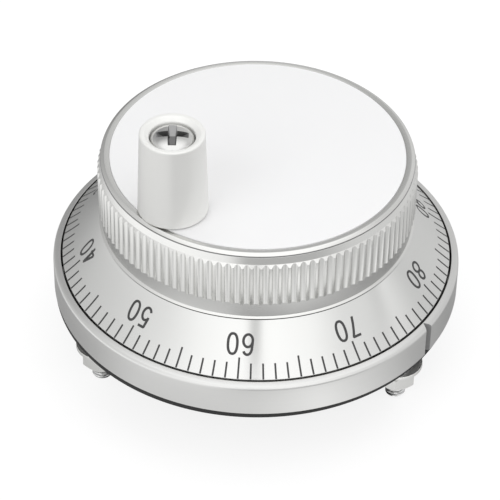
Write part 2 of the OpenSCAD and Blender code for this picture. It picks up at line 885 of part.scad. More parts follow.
// A forked sensor whose two arms stand above and below the disc's slots.
module photo_sensor() {
  jaw = 0.55;
  reach_r = code_disc_d / 2 - 0.8 - slot_l - 1.2;
  back_r = code_disc_d / 2 + sensor_back;
  width = sensor_w;
  top = base_z - 0.3;
  slot_mid = code_z - code_disc_t / 2;
  color([0.12, 0.12, 0.13])
    difference() {
      translate([reach_r, -width / 2, board_top_z])
        cube([back_r - reach_r, width, top - board_top_z]);
      translate([reach_r - EPS, -width / 2 - EPS, slot_mid - jaw - code_disc_t / 2])
        cube([code_disc_d / 2 + 0.7 - reach_r, width + 2 * EPS, 2 * jaw + code_disc_t]);
    }
}

// ---- circuit board and rear housing ----

housing_z = -housing_depth;
housing_inner_z = housing_z + housing_floor_t;
standoff_h = 1;
board_z = housing_inner_z + standoff_h;
board_top_z = board_z + board_t;
board_screw_r = 1;
board_r = housing_d / 2 - housing_wall - 0.5;
board_screw_at = board_r - 4.5;
board_screw_a = 75;
board_head_r = 1.7;
board_head_h = 1;
housing_screw_shank_r = 1.5;
housing_screw_head_r = 2.8;
housing_screw_head_h = 1.8;
leg_r = 0.5;
leg_inset = 1;
tag_margin = 1.6;
tag_l = block_w - 2 * tag_margin;
leg_y = leg_inset - block_offset - tag_l / 2;

// X of terminal i, counted from the left.
function terminal_x(i) = (i - (terminal_count - 1) / 2) * terminal_pitch;

module terminal_legs_at(z0, h, r) {
  for (i = [0 : terminal_count - 1])
    translate([terminal_x(i), leg_y, z0])
      cylinder(r = r, h = h, $fn = 36);
}

module circuit_board() {
  color("darkgreen")
    difference() {
      tube(board_r, hub_tube_r + 1.5, board_z, board_t);
      ring_of(3, housing_screw_r, housing_screw_a)
        translate([0, 0, board_z - EPS])
          cylinder(r = post_r + 0.4, h = board_t + 2 * EPS);
      ring_of(3, board_screw_at, board_screw_a)
        translate([0, 0, board_z - EPS])
          cylinder(r = board_screw_r, h = board_t + 2 * EPS, $fn = 36);
      terminal_legs_at(board_z - EPS, board_t + 2 * EPS, leg_r);
    }
}

// The line driver and two smaller chips beside it, and a row of resistors.
module board_components() {
  driver = [10, 4, 1];
  driver_y = 10.5;
  chip = [4, 5, 1];
  chip_inset = 13.5;
  chip_x = board_r - chip_inset;
  chip_y = 8;
  resistor = [1.2, 0.8, 0.5];
  resistor_pitch = 3;
  resistor_y = -8.6;
  color([0.1, 0.1, 0.1]) {
    translate([-driver[0] / 2, driver_y, board_top_z])
      cube(driver);
    for (s = [-1, 1])
      translate([s * chip_x - chip[0] / 2, chip_y, board_top_z])
        cube(chip);
    for (i = [-2 : 2])
      translate([i * resistor_pitch - resistor[0] / 2, resistor_y, board_top_z])
        cube(resistor);
  }
}

module board_screws() {
  color("silver")
    ring_of(3, board_screw_at, board_screw_a)
      pan_screw(board_screw_r, board_t + standoff_h + 0.8, board_head_r, board_head_h, board_top_z);
}

// The black moulded cup behind the panel: side wall, floor, screw posts and board standoffs.
module rear_housing() {
  edge = 0.8;
  outer_r = housing_d / 2;
  color([0.1, 0.1, 0.11])
    difference() {
      union() {
        rotate_extrude($fn = 144)
          polygon([[0, housing_z], [outer_r - edge, housing_z], [outer_r, housing_z + edge], [outer_r, base_z],
            [outer_r - housing_wall, base_z], [outer_r - housing_wall, housing_inner_z], [0, housing_inner_z]]);
        ring_of(3, housing_screw_r, housing_screw_a)
          translate([0, 0, housing_z + EPS])
            cylinder(r = post_r, h = base_z - housing_z - EPS);
        ring_of(3, board_screw_at, board_screw_a)
          translate([0, 0, housing_inner_z - EPS])
            cylinder(r = 2.4, h = standoff_h + EPS);
      }
      ring_of(3, housing_screw_r, housing_screw_a) {
        translate([0, 0, housing_z - EPS])
          cylinder(r = housing_screw_shank_r + 0.1, h = base_z - housing_z + 2 * EPS, $fn = 48);
        translate([0, 0, housing_z - EPS])
          cylinder(r = housing_screw_head_r + 0.2, h = housing_screw_head_h + 0.2 + EPS, $fn = 48);
      }
      ring_of(3, board_screw_at, board_screw_a)
        translate([0, 0, housing_inner_z - 0.8])
          cylinder(r = board_screw_r, h = standoff_h + 1, $fn = 36);
      terminal_legs_at(housing_z - EPS, housing_floor_t + 2 * EPS, leg_r);
    }
}

module housing_screws() {
  color("silver")
    ring_of(3, housing_screw_r, housing_screw_a)
      translate([0, 0, housing_z + housing_screw_head_h + 0.2])
        rotate([180, 0, 0])
          pan_screw(housing_screw_shank_r, floor_z - housing_z - housing_screw_head_h - 0.5,
            housing_screw_head_r, housing_screw_head_h, 0);
}

// ---- terminals ----

block_base_t = 1.6;
block_l = terminal_count * terminal_pitch + rib_t;
tag_w = terminal_pitch - rib_t - 0.4;
tag_z = housing_z - block_base_t - tag_t;
clamp_t = 0.5;
clamp_w = 4;
terminal_screw_r = 1.25;
terminal_head_r = 1.9;
terminal_head_h = block_h - block_base_t - tag_t - clamp_t;

// A moulded block with a rib on each side of every terminal.
module terminal_block() {
  color([0.13, 0.13, 0.14])
    difference() {
      union() {
        translate([-block_l / 2, -block_offset - block_w / 2, housing_z - block_base_t])
          cube([block_l, block_w, block_base_t]);
        for (i = [0 : terminal_count])
          translate([-block_l / 2 + i * terminal_pitch, -block_offset - block_w / 2, housing_z - block_h])
            cube([rib_t, block_w, block_h]);
      }
      for (i = [0 : terminal_count - 1])
        translate([terminal_x(i), -block_offset, housing_z - block_base_t - EPS])
          cylinder(r = terminal_screw_r, h = block_base_t + 2 * EPS, $fn = 36);
      terminal_legs_at(housing_z - block_base_t - EPS, block_base_t + 2 * EPS, leg_r);
    }
}

// Plated tags, each with a leg that is soldered into the board.
module terminal_plates() {
  color("lightgray") {
    for (i = [0 : terminal_count - 1])
      translate([terminal_x(i), -block_offset, tag_z])
        difference() {
          translate([-tag_w / 2, -tag_l / 2, 0])
            cube([tag_w, tag_l, tag_t]);
          translate([0, 0, -EPS])
            cylinder(r = terminal_screw_r, h = tag_t + 2 * EPS, $fn = 36);
        }
    terminal_legs_at(tag_z + EPS, board_top_z + 0.6 - tag_z, leg_r);
  }
}

module wire_clamps() {
  color("silver")
    for (i = [0 : terminal_count - 1])
      translate([terminal_x(i), -block_offset, tag_z - clamp_t])
        difference() {
          translate([-clamp_w / 2, -clamp_w / 2, 0])
            cube([clamp_w, clamp_w, clamp_t]);
          translate([0, 0, -EPS])
            cylinder(r = terminal_screw_r, h = clamp_t + 2 * EPS, $fn = 36);
        }
}

module terminal_screws() {
  color("silver")
    for (i = [0 : terminal_count - 1])
      translate([terminal_x(i), -block_offset, tag_z - clamp_t])
        rotate([180, 0, 0])
          pan_screw(terminal_screw_r, clamp_t + tag_t + block_base_t - 0.1, terminal_head_r, terminal_head_h, 0);
}

bezel_base();
gasket();
panel_studs();
flat_washers();
spring_washers();
hex_nuts();
lower_outer_ring();
outer_spacer();
upper_outer_ring();
bearing_circlip();
lower_inner_ring();
inner_spacer();
upper_inner_ring();
lower_balls();
lower_cage();
upper_balls();
upper_cage();
shaft();
hand_wheel();
wheel_washer();
wheel_screw();
dial_skirt();
skirt_screws();
top_disc();
click_lower_pole();
click_magnet();
click_upper_pole();
click_screws();
click_rotor();
handle_base_washer();
handle_sleeve();
handle_grip();
handle_washer();
handle_screw();
disc_hub();
code_disc();
disc_clamp();
hub_set_screw();
photo_sensor();
circuit_board();
board_components();
board_screws();
rear_housing();
housing_screws();
terminal_block();
terminal_plates();
wire_clamps();
terminal_screws();
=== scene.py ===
# The looks of a pulse generator handwheel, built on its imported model.
# The drawing's sizes are in millimetres, and MM turns them into the scene's metres.
import math

import bmesh
import bpy
from mathutils import Matrix, Vector


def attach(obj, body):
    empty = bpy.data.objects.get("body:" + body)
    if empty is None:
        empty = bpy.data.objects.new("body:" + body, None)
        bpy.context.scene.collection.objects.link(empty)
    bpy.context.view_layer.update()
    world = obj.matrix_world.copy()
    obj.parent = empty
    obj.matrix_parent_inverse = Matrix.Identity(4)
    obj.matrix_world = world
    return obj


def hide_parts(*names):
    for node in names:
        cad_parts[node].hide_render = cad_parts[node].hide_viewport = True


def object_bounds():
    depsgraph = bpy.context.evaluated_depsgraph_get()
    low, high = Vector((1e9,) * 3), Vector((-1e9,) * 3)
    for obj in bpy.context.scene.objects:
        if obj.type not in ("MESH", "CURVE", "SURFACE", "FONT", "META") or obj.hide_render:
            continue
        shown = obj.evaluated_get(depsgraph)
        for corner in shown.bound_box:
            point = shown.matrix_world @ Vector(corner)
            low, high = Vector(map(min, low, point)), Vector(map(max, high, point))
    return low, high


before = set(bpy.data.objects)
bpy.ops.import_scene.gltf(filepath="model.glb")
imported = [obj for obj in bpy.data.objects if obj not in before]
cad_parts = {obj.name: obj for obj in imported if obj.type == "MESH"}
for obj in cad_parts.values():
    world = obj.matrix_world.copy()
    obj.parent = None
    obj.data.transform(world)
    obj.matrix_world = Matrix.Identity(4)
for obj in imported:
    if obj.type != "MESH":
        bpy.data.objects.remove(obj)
cad_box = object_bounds()
scene = bpy.context.scene
scene.view_settings.view_transform = "Standard"
MM = 0.001

# ---------------------------------------------------------------- camera and studio
# A long lens looks down on the wheel, with the crank handle on the near side. The part
# stands on a white floor under one broad soft lamp, with a weaker one on each side.
LENS = 179.73
VIEW_TURN = math.radians(123.75)
VIEW_RISE = 0.708
VIEW_ROLL = -0.017
EYE = Vector((-1.197, -375.02, 328.24)) * MM

around = Matrix.Rotation(VIEW_TURN, 3, "Z")
plumb = Vector((0, math.sin(VIEW_RISE), math.cos(VIEW_RISE)))
ahead = Vector((0, math.cos(VIEW_RISE), -math.sin(VIEW_RISE)))
side = Vector((math.cos(VIEW_ROLL), 0, 0)) - plumb * math.sin(VIEW_ROLL)
up = Vector((math.sin(VIEW_ROLL), 0, 0)) + plumb * math.cos(VIEW_ROLL)
axes = Matrix((around @ side, around @ up, -(around @ ahead))).transposed()
camera = bpy.data.objects.new("camera", bpy.data.cameras.new("camera"))
camera.data.lens = LENS
camera.data.sensor_width = 36
camera.data.clip_start = 0.01
camera.matrix_world = Matrix.Translation(around @ EYE) @ axes.to_4x4()
scene.collection.objects.link(camera)
scene.camera = camera


class Level:
    """A number in a node tree. Signs such as + and * between levels add Math nodes to the tree."""

    def __init__(self, tree, socket):
        self.tree = tree
        self.socket = socket

    def __add__(self, other):
        return calc(self.tree, "ADD", self, other)

    def __sub__(self, other):
        return calc(self.tree, "SUBTRACT", self, other)

    def __rsub__(self, other):
        return calc(self.tree, "SUBTRACT", other, self)

    def __mul__(self, other):
        return calc(self.tree, "MULTIPLY", self, other)

    def __truediv__(self, other):
        return calc(self.tree, "DIVIDE", self, other)

    def __abs__(self):
        return calc(self.tree, "ABSOLUTE", self)


def feed(tree, socket, value):
    """Links an input when the value is a level or an output, or else gives it the fixed value."""
    if isinstance(value, Level):
        value = value.socket
    if isinstance(value, bpy.types.NodeSocket):
        tree.links.new(value, socket)
    elif value is not None:
        socket.default_value = value


def step(tree, kind, *feeds, into=None, **settings):
    """Adds a node, sets its properties, and feeds its first inputs in turn and others by name."""
    node = tree.nodes.new(kind)
    for label, value in settings.items():
        setattr(node, label, value)
    for socket, value in zip(node.inputs, feeds):
        feed(tree, socket, value)
    for label, value in (into or {}).items():
        feed(tree, node.inputs[label], value)
    return node


def calc(tree, operation, *values):
    """One Math node, in a shader tree or a geometry tree."""
    return Level(tree, step(tree, "ShaderNodeMath", *values, operation=operation).outputs[0])


def split(tree, vector):
    """The three levels of a vector."""
    return [Level(tree, part) for part in step(tree, "ShaderNodeSeparateXYZ", vector).outputs]


def join(tree, x, y=None, z=None):
    """A vector of up to three levels or fixed values."""
    return step(tree, "ShaderNodeCombineXYZ", x, y, z).outputs[0]


def ramp(tree, value, stops, low=0.0, high=1.0):
    """A grey level that runs through stops of (value, level), with the values between low and high."""
    top = max(level for _, level in stops)
    node = step(tree, "ShaderNodeValToRGB", (value - low) / (high - low))
    while len(node.color_ramp.elements) < len(stops):
        node.color_ramp.elements.new(0.5)
    for stop, (place, level) in zip(node.color_ramp.elements, stops):
        stop.position = (place - low) / (high - low)
        stop.color = (level / top, level / top, level / top, 1)
    return Level(tree, node.outputs["Color"]) * top


def bearing_from_camera(tree, place):
    """The bearing of a place or direction round the Z axis, in degrees to the right of the camera's own."""
    turned = step(tree, "ShaderNodeVectorRotate", place, into={"Angle": math.pi / 2 - VIEW_TURN},
                  rotation_type="Z_AXIS")
    x, y, _ = split(tree, turned.outputs[0])
    return calc(tree, "DEGREES", calc(tree, "ARCTAN2", y, x))


def ray_masks(tree):
    """One mask for what mirrors see, and one for what the camera sees."""
    rays = step(tree, "ShaderNodeLightPath").outputs
    return (Level(tree, rays["Is Glossy Ray"]),
            calc(tree, "MAXIMUM", rays["Is Camera Ray"], rays["Is Transmission Ray"]))


def blank_material(name):
    """A material with its Principled shader's inputs, and its tree."""
    material = bpy.data.materials.new(name)
    material.use_nodes = True
    return material, material.node_tree, material.node_tree.nodes["Principled BSDF"].inputs


def mesh_of(shaper, name):
    """Ends a shape that is being built, as a mesh whose faces point outwards."""
    bmesh.ops.recalc_face_normals(shaper, faces=shaper.faces)
    mesh = bpy.data.meshes.new(name)
    shaper.to_mesh(mesh)
    shaper.free()
    return mesh


# The floor: grey card, lifted to white for the camera. Mirrors see it brighter in front
# close to the part, and brighter on the left further out.
FLOOR_SIZE = 3.0
FLOOR_DROP = 0.0003
FLOOR_COLOUR = (0.22, 0.22, 0.22, 1)
FLOOR_GLOW = 0.82
FLOOR_ROUND = ((-180, 0.22), (-90, 0.24), (-68, 0.34), (-45, 0.64), (-15, 0.7), (0, 0.74), (24, 1.02),
               (42, 0.74), (65, 0.34), (90, 0.22), (180, 0.22))
FLOOR_ROUND_FAR = ((-180, 0.1), (-160, 0.08), (-142, 0.14), (-122, 0.5), (-100, 0.84), (-80, 1.05),
                   (-40, 1.05), (-16, 0.95), (-7, 0.34), (36, 0.36), (60, 0.6), (110, 0.6), (160, 0.46),
                   (180, 0.16))
FAR_FROM = (0.070, 0.081)
shaper = bmesh.new()
bmesh.ops.create_grid(shaper, x_segments=1, y_segments=1, size=FLOOR_SIZE)
bmesh.ops.translate(shaper, verts=shaper.verts, vec=(0, 0, cad_box[0].z - FLOOR_DROP))
floor = bpy.data.objects.new("floor", mesh_of(shaper, "floor"))
scene.collection.objects.link(floor)
floor_paint, tree, paint = blank_material("floor_paint")
paint["Base Color"].default_value = FLOOR_COLOUR
paint["Roughness"].default_value = 0.9
paint["Specular IOR Level"].default_value = 0
paint["Emission Color"].default_value = (1, 1, 1, 1)
spot = step(tree, "ShaderNodeTexCoord").outputs["Object"]
apart = step(tree, "ShaderNodeVectorMath", spot, operation="LENGTH").outputs["Value"]
far = Level(tree, step(tree, "ShaderNodeMapRange", apart, *FAR_FROM).outputs[0])
bearing = bearing_from_camera(tree, spot)
near_level = ramp(tree, bearing, FLOOR_ROUND, -180, 180)
far_level = ramp(tree, bearing, FLOOR_ROUND_FAR, -180, 180)
mirrored, seen = ray_masks(tree)
shown = near_level + (far_level - near_level) * far
feed(tree, paint["Emission Strength"], mirrored * shown + seen * FLOOR_GLOW)
floor.data.materials.append(floor_paint)

# The world: white for the camera, plain light for matt surfaces, and for mirrors a ring of
# pale screens, brightest on both sides of the camera with a dark gap between, and darker behind.
AMBIENT = 0.74
SKY_ROUND = ((-180, 0.58), (-160, 0.4), (-138, 0.5), (-116, 0.74), (-90, 0.88), (-58, 1.06), (-36, 1.32),
             (-4, 1.5), (-2.5, 0.72), (3, 0.72), (4.5, 1.5), (38, 1.34), (58, 1.04), (76, 0.98), (83, 0.8),
             (90, 1.1), (106, 0.78), (138, 0.84), (180, 0.66))
SKY_TOP = 1.42
SKY_RISE = ((0.0, 0.0), (0.74, 0.0), (0.94, 1.0))
world = bpy.data.worlds.new("studio")
scene.world = world
world.use_nodes = True
tree = world.node_tree
direction = step(tree, "ShaderNodeTexCoord").outputs["Generated"]
round_sky = ramp(tree, bearing_from_camera(tree, direction), SKY_ROUND, -180, 180)
overhead = ramp(tree, split(tree, direction)[2], SKY_RISE)
mirrored, seen = ray_masks(tree)
sky = round_sky * (1 - overhead) + overhead * SKY_TOP
lit = (1 - mirrored) * AMBIENT + mirrored * sky
air = tree.nodes["Background"].inputs
air["Color"].default_value = (1, 1, 1, 1)
feed(tree, air["Strength"], calc(tree, "MAXIMUM", lit, seen))

LAMP_DISTANCE = 0.9


def softbox(name, size, power, turn, rise):
    """A square lamp aimed at the part; turn is its bearing from the camera's own, in degrees."""
    lamp = bpy.data.lights.new(name, "AREA")
    lamp.size = size
    lamp.energy = power
    lamp_object = bpy.data.objects.new(name, lamp)
    bearing = VIEW_TURN + math.radians(turn)
    lean = math.radians(rise)
    back = Vector((math.sin(bearing) * math.cos(lean), -math.cos(bearing) * math.cos(lean), math.sin(lean)))
    aim = back.to_track_quat("Z", "Y").to_matrix().to_4x4()
    lamp_object.matrix_world = Matrix.Translation(back * LAMP_DISTANCE) @ aim
    lamp_object.visible_glossy = False
    scene.collection.objects.link(lamp_object)


softbox("overhead_lamp", size=0.9, power=2.1, turn=150, rise=74)
softbox("left_lamp", size=0.6, power=1.5, turn=-40, rise=38)
softbox("right_lamp", size=0.6, power=1.0, turn=60, rise=30)

# ---------------------------------------------------------------- bezel base
# The dish that everything is built on is turned from aluminium bar and clear anodised.
# Its ring shields the dial, and an index notch is cut down the ring's outside.
BEZEL_R = 40.0
BEZEL_LIP_R = 38.55
BEZEL_TOP = 8.0
BEZEL_FOOT = 1.0
LIP_FALL = 0.4
LIP_ROUND = 0.9
DISH_FLOOR = 3.0
DISH_HOLE_R = 9.5
BOSS_R = 13.8
BOSS_TOP = 23.5
BOSS_FLARE = 3.0
BOSS_FLARE_H = 4.0
BEARING_SEAT_R = 11.0
CIRCLIP_R = 11.6
CIRCLIP_FOOT = 21.0
CIRCLIP_TOP = 22.0
NOTCH_W = 1.8
NOTCH_DEPTH = 1.35
STUDS = 3
STUD_CIRCLE_R = 33.5
FIRST_STUD = math.radians(90)
PAD_R = 4.5
PAD_TOP = 5.0
TURNED = 288


def softened(corners, radius, steps=3):
    """Rounds the corners of a closed outline; a corner may carry its own radius as a third number."""
    points = []
    for i, corner in enumerate(corners):
        here = Vector(corner[:2])
        before = Vector(corners[i - 1][:2]) - here
        after = Vector(corners[(i + 1) % len(corners)][:2]) - here
        size = corner[2] if len(corner) > 2 else radius
        if here.x < 1e-6 or size <= 0:
            points.append(here)
            continue
        half = before.angle(after) / 2
        reach = min(size / max(math.tan(half), 1e-3), before.length * 0.45, after.length * 0.45)
        start, end = here + before.normalized() * reach, here + after.normalized() * reach
        for k in range(steps + 1):
            t = k / steps
            points.append(start * (1 - t) ** 2 + here * 2 * t * (1 - t) + end * t * t)
    return points


def lathe(outline, segments=TURNED, centre=(0, 0), bearings=None):
    """A mesh turned round an upright axis from a closed outline of (radius, height)."""
    turns = bearings or [2 * math.pi * i / segments for i in range(segments)]
    shaper = bmesh.new()
    rows = []
    for radius, height in outline:
        stops = turns if radius >= 1e-6 else [0]
        rows.append([shaper.verts.new(((centre[0] + radius * math.cos(a)) * MM,
                                       (centre[1] + radius * math.sin(a)) * MM, height * MM)) for a in stops])
    for row, following in zip(rows, rows[1:] + rows[:1]):
        for i in range(len(turns)):
            j = (i + 1) % len(turns)
            corners = dict.fromkeys((row[i % len(row)], row[j % len(row)],
                                     following[j % len(following)], following[i % len(following)]))
            if len(corners) > 2:
                shaper.faces.new(list(corners))
    return mesh_of(shaper, "turned")


def prism(outline, low, high, placed=Matrix.Identity(4)):
    """A closed mesh that stands on an outline of (x, y), from one height to the other."""
    shaper = bmesh.new()
    foot = shaper.faces.new([shaper.verts.new((x * MM, y * MM, low * MM)) for x, y in outline])
    risen = bmesh.ops.extrude_face_region(shaper, geom=[foot])
    lifted = [v for v in risen["geom"] if isinstance(v, bmesh.types.BMVert)]
    bmesh.ops.translate(shaper, verts=lifted, vec=(0, 0, (high - low) * MM))
    mesh = mesh_of(shaper, "prism")
    mesh.transform(placed)
    return mesh


def settled(thing):
    """The plain mesh of an object with its modifiers carried out."""
    seen = thing.evaluated_get(bpy.context.evaluated_depsgraph_get())
    return bpy.data.meshes.new_from_object(seen)


def combined(mesh, tools, operation):
    """A mesh after one boolean step with each tool."""
    for tool in tools:
        body = bpy.data.objects.new("work", mesh)
        cutter = bpy.data.objects.new("tool", tool)
        scene.collection.objects.link(body)
        scene.collection.objects.link(cutter)
        cut = body.modifiers.new("cut", "BOOLEAN")
        cut.operation = operation
        cut.solver = "EXACT"
        cut.object = cutter
        mesh = settled(body)
        bpy.data.objects.remove(body)
        bpy.data.objects.remove(cutter)
    return mesh


def circle(radius, count=48, centre=(0, 0)):
    """Points of a circle."""
    return [(centre[0] + radius * math.cos(2 * math.pi * i / count),
             centre[1] + radius * math.sin(2 * math.pi * i / count)) for i in range(count)]


def at_studs(mesh):
    """A copy of a mesh at each stud's place."""
    copies = []
    for i in range(STUDS):
        copy = mesh.copy()
        turn = Matrix.Rotation(FIRST_STUD + 2 * math.pi / STUDS * i, 4, "Z")
        copy.transform(turn @ Matrix.Translation((STUD_CIRCLE_R * MM, 0, 0)))
        copies.append(copy)
    return copies


SMOOTH_BELOW = math.radians(28)


def piece(name, mesh, material, body, slot, *nodes):
    """Puts a finished mesh into the scene as a piece that rides on a body and stands for CAD nodes."""
    mesh.name = name
    mesh.materials.clear()
    mesh.materials.append(material)
    for face in mesh.polygons:
        face.use_smooth = True
        face.material_index = 0
    mesh.set_sharp_from_angle(angle=SMOOTH_BELOW)
    thing = bpy.data.objects.new(name, mesh)
    scene.collection.objects.link(thing)
    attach(thing, body)
    if nodes:
        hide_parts(*nodes)
    return thing


NUMBER, COLOUR, ARROW = "NodeSocketFloat", "NodeSocketColor", "NodeSocketVector"


def ends_of(tree):
    """The inputs that a tree is given, as levels by name, and the outputs that it makes."""
    given = tree.nodes.new("NodeGroupInput").outputs
    return ({socket.name: Level(tree, socket) for socket in given if socket.name},
            tree.nodes.new("NodeGroupOutput").inputs)


def finish_group(name, sizes):
    """A shader group with named inputs that puts out a colour, a roughness and a normal."""
    group = bpy.data.node_groups.new(name, "ShaderNodeTree")
    for label, value in sizes.items():
        kind = NUMBER if isinstance(value, float) else ARROW if len(value) == 3 else COLOUR
        group.interface.new_socket(label, in_out="INPUT", socket_type=kind).default_value = value
    for label, kind in (("Colour", COLOUR), ("Roughness", NUMBER), ("Normal", ARROW)):
        group.interface.new_socket(label, in_out="OUTPUT", socket_type=kind)
    return group, *ends_of(group)


def noise(tree, place, scale, detail, fourth=None):
    """The level of a noise pattern at a place, less its middle value."""
    node = step(tree, "ShaderNodeTexNoise", place, fourth, scale, detail,
                noise_dimensions="4D" if fourth else "3D")
    return Level(tree, node.outputs["Fac"]) - 0.5


def worn_surface(tree, given, made, tone, rough, relief, distance):
    """Ends a group with a colour that a tone lightens or darkens, a roughness and a fine relief."""
    shade = step(tree, "ShaderNodeVectorMath", given["Colour"], into={"Scale": tone + 1.0}, operation="SCALE")
    bump = step(tree, "ShaderNodeBump",
                into={"Distance": distance, "Strength": given["Depth"], "Height": relief})
    feed(tree, made["Colour"], shade.outputs[0])
    feed(tree, made["Roughness"], rough)
    feed(tree, made["Normal"], bump.outputs[0])


# Fine rings that a turning tool leaves round an upright axis, with cloudy handling marks.
turned_lines, given, made = finish_group("turned_lines", {
    "Colour": (0.8, 0.8, 0.8, 1), "Roughness": 0.3, "Centre": (0, 0, 0), "Lines": 9000.0, "Depth": 0.1,
    "Streak": 0.06, "Marks": 0.05})
tree = turned_lines
spot = step(tree, "ShaderNodeTexCoord").outputs["Object"]
from_axis = step(tree, "ShaderNodeVectorMath", spot, given["Centre"], operation="SUBTRACT").outputs[0]
x, y, z = split(tree, from_axis)
reach = calc(tree, "SQRT", x * x + y * y)
safe_reach = calc(tree, "MAXIMUM", reach, 1e-5)
rings = join(tree, reach * given["Lines"], z * given["Lines"], x / safe_reach)
grooves = noise(tree, rings, 1, 3, y / safe_reach)
tone = grooves * given["Streak"]
rough = given["Roughness"] + (noise(tree, spot, 130, 4) * given["Marks"] + tone)
worn_surface(tree, given, made, tone, rough, grooves, 0.00002)


def finish(name, group, metallic, **values):
    """A material whose colour, roughness and normal come from a group with these values."""
    material, tree, surface = blank_material(name)
    effect = step(tree, "ShaderNodeGroup", node_tree=group, name="effect")
    for label, value in values.items():
        effect.inputs[label].default_value = value
    for label, target in (("Colour", "Base Color"), ("Roughness", "Roughness"), ("Normal", "Normal")):
        feed(tree, surface[target], effect.outputs[label])
    surface["Metallic"].default_value = metallic
    return material, tree, surface


def turned_metal(name, colour, roughness, centre=(0, 0, 0), lines=9000.0, depth=0.1, streak=0.06, marks=0.05,
                 metallic=1.0, anisotropic=0.0):
    """A metal with turning lines round the axis through its centre (millimetres)."""
    material, tree, surface = finish(
        name, turned_lines, metallic, Colour=(*colour, 1), Roughness=roughness,
        Centre=[c * MM for c in centre], Lines=lines, Depth=depth, Streak=streak, Marks=marks)
    if anisotropic:
        surface["Anisotropic"].default_value = anisotropic
        surface["Anisotropic Rotation"].default_value = 0.25
        grain = step(tree, "ShaderNodeTangent", direction_type="RADIAL", axis="Z")
        feed(tree, surface["Tangent"], grain.outputs[0])
    return material


anodised = turned_metal("anodised_bezel", (0.67, 0.67, 0.66), 0.32)
dish = lathe(softened([
    (DISH_HOLE_R, BEZEL_FOOT), (BEZEL_R, BEZEL_FOOT, 0.15), (BEZEL_R, BEZEL_TOP - LIP_FALL, LIP_ROUND),
    (BEZEL_LIP_R, BEZEL_TOP, 0.08), (BEZEL_LIP_R, DISH_FLOOR, 0.3), (BOSS_R + BOSS_FLARE, DISH_FLOOR, 0.5),
    (BOSS_R, DISH_FLOOR + BOSS_FLARE_H, 0.5), (BOSS_R, BOSS_TOP, 0.2), (BEARING_SEAT_R, BOSS_TOP, 0.2),
    (BEARING_SEAT_R, CIRCLIP_TOP, 0), (CIRCLIP_R, CIRCLIP_TOP, 0), (CIRCLIP_R, CIRCLIP_FOOT, 0),
    (BEARING_SEAT_R, CIRCLIP_FOOT, 0), (BEARING_SEAT_R, DISH_FLOOR, 0),
    (DISH_HOLE_R, DISH_FLOOR, 0)], 0.1, 5))
pad = lathe(softened([(0, DISH_FLOOR - 1), (PAD_R, DISH_FLOOR - 1, 0), (PAD_R, PAD_TOP, 0.2),
                      (0, PAD_TOP)], 0), 48)
dish = combined(dish, at_studs(pad), "UNION")
half_notch = NOTCH_W / 2
vee = prism([(0, BEZEL_R - NOTCH_DEPTH), (half_notch, BEZEL_R), (half_notch, BEZEL_R + 1),
             (-half_notch, BEZEL_R + 1), (-half_notch, BEZEL_R)], 0, BEZEL_TOP + 1)
dish = combined(dish, [vee], "DIFFERENCE")
ring = piece("bezel_ring_and_dish", dish, anodised, "base", "bezel_aluminium", "bezel_base")


def refinish(thing, material, belongs):
    """Gives a second finish to the faces whose centre, in millimetres, and normal pass a test."""
    thing.data.materials.append(material)
    for face in thing.data.polygons:
        if belongs(face.center / MM, face.normal):
            face.material_index = len(thing.data.materials) - 1


def in_notch(at, out):
    """Whether a face is one of the notch's slanted walls."""
    return abs(at.x) < half_notch and at.y > BEZEL_LIP_R and abs(out.x) > 0.5


# The notch's slanted walls get a dark grey coat of painted shade for the shade in the notch. The same coat is
# painted shade in the wheel's fine groove.
groove_painted_shade = turned_metal("grey_painted_shade_for_grooves", (0.3, 0.3, 0.3), 0.5, marks=0.2, metallic=0.0)
refinish(ring, groove_painted_shade, in_notch)

# ---------------------------------------------------------------- gasket
# A flat ring cut from black rubber sheet lies between the dish and the panel. It has slipped
# to one side, within the play that its stud holes leave, almost to the dish's edge.
GASKET_IN_R = 29.0
GASKET_OUT_R = 39.6
GASKET_TOP = 0.99
GASKET_HOLE_R = 2.7
GASKET_SHIFT = 0.38

# Fine pores and flow marks of rubber, moulded plastic, laminate and paint.
moulded_skin, given, made = finish_group("moulded_skin", {
    "Colour": (0.5, 0.5, 0.5, 1), "Roughness": 0.5, "Grain": 6000.0, "Depth": 0.2, "Mottle": 0.1})
tree = moulded_skin
spot = step(tree, "ShaderNodeTexCoord").outputs["Object"]
mottle = noise(tree, spot, 160, 4) * given["Mottle"]
pores = noise(tree, spot, given["Grain"], 2)
worn_surface(tree, given, made, mottle, given["Roughness"] + mottle, pores, 0.00003)


def skinned(name, colour, roughness, grain=6000.0, depth=0.2, mottle=0.1, metallic=0.0):
    """A moulded, painted or cast finish."""
    return finish(name, moulded_skin, metallic, Colour=(*colour, 1), Roughness=roughness, Grain=grain,
                  Depth=depth, Mottle=mottle)[0]


def flat_ring(inner, outer, low, high, edge, segments=TURNED):
    """A ring of square section with its edges softened."""
    return lathe(softened([(inner, low), (outer, low), (outer, high), (inner, high)], edge), segments)


rubber = skinned("black_rubber", (0.018, 0.018, 0.018), 0.7)
gasket = flat_ring(GASKET_IN_R, GASKET_OUT_R, 0, GASKET_TOP, 0.12)
gasket = combined(gasket, at_studs(prism(circle(GASKET_HOLE_R), -1, 2)), "DIFFERENCE")
gasket.transform(Matrix.Translation((GASKET_SHIFT * MM, 0, 0)))
piece("rubber_gasket", gasket, rubber, "base", "gasket_rubber", "gasket")

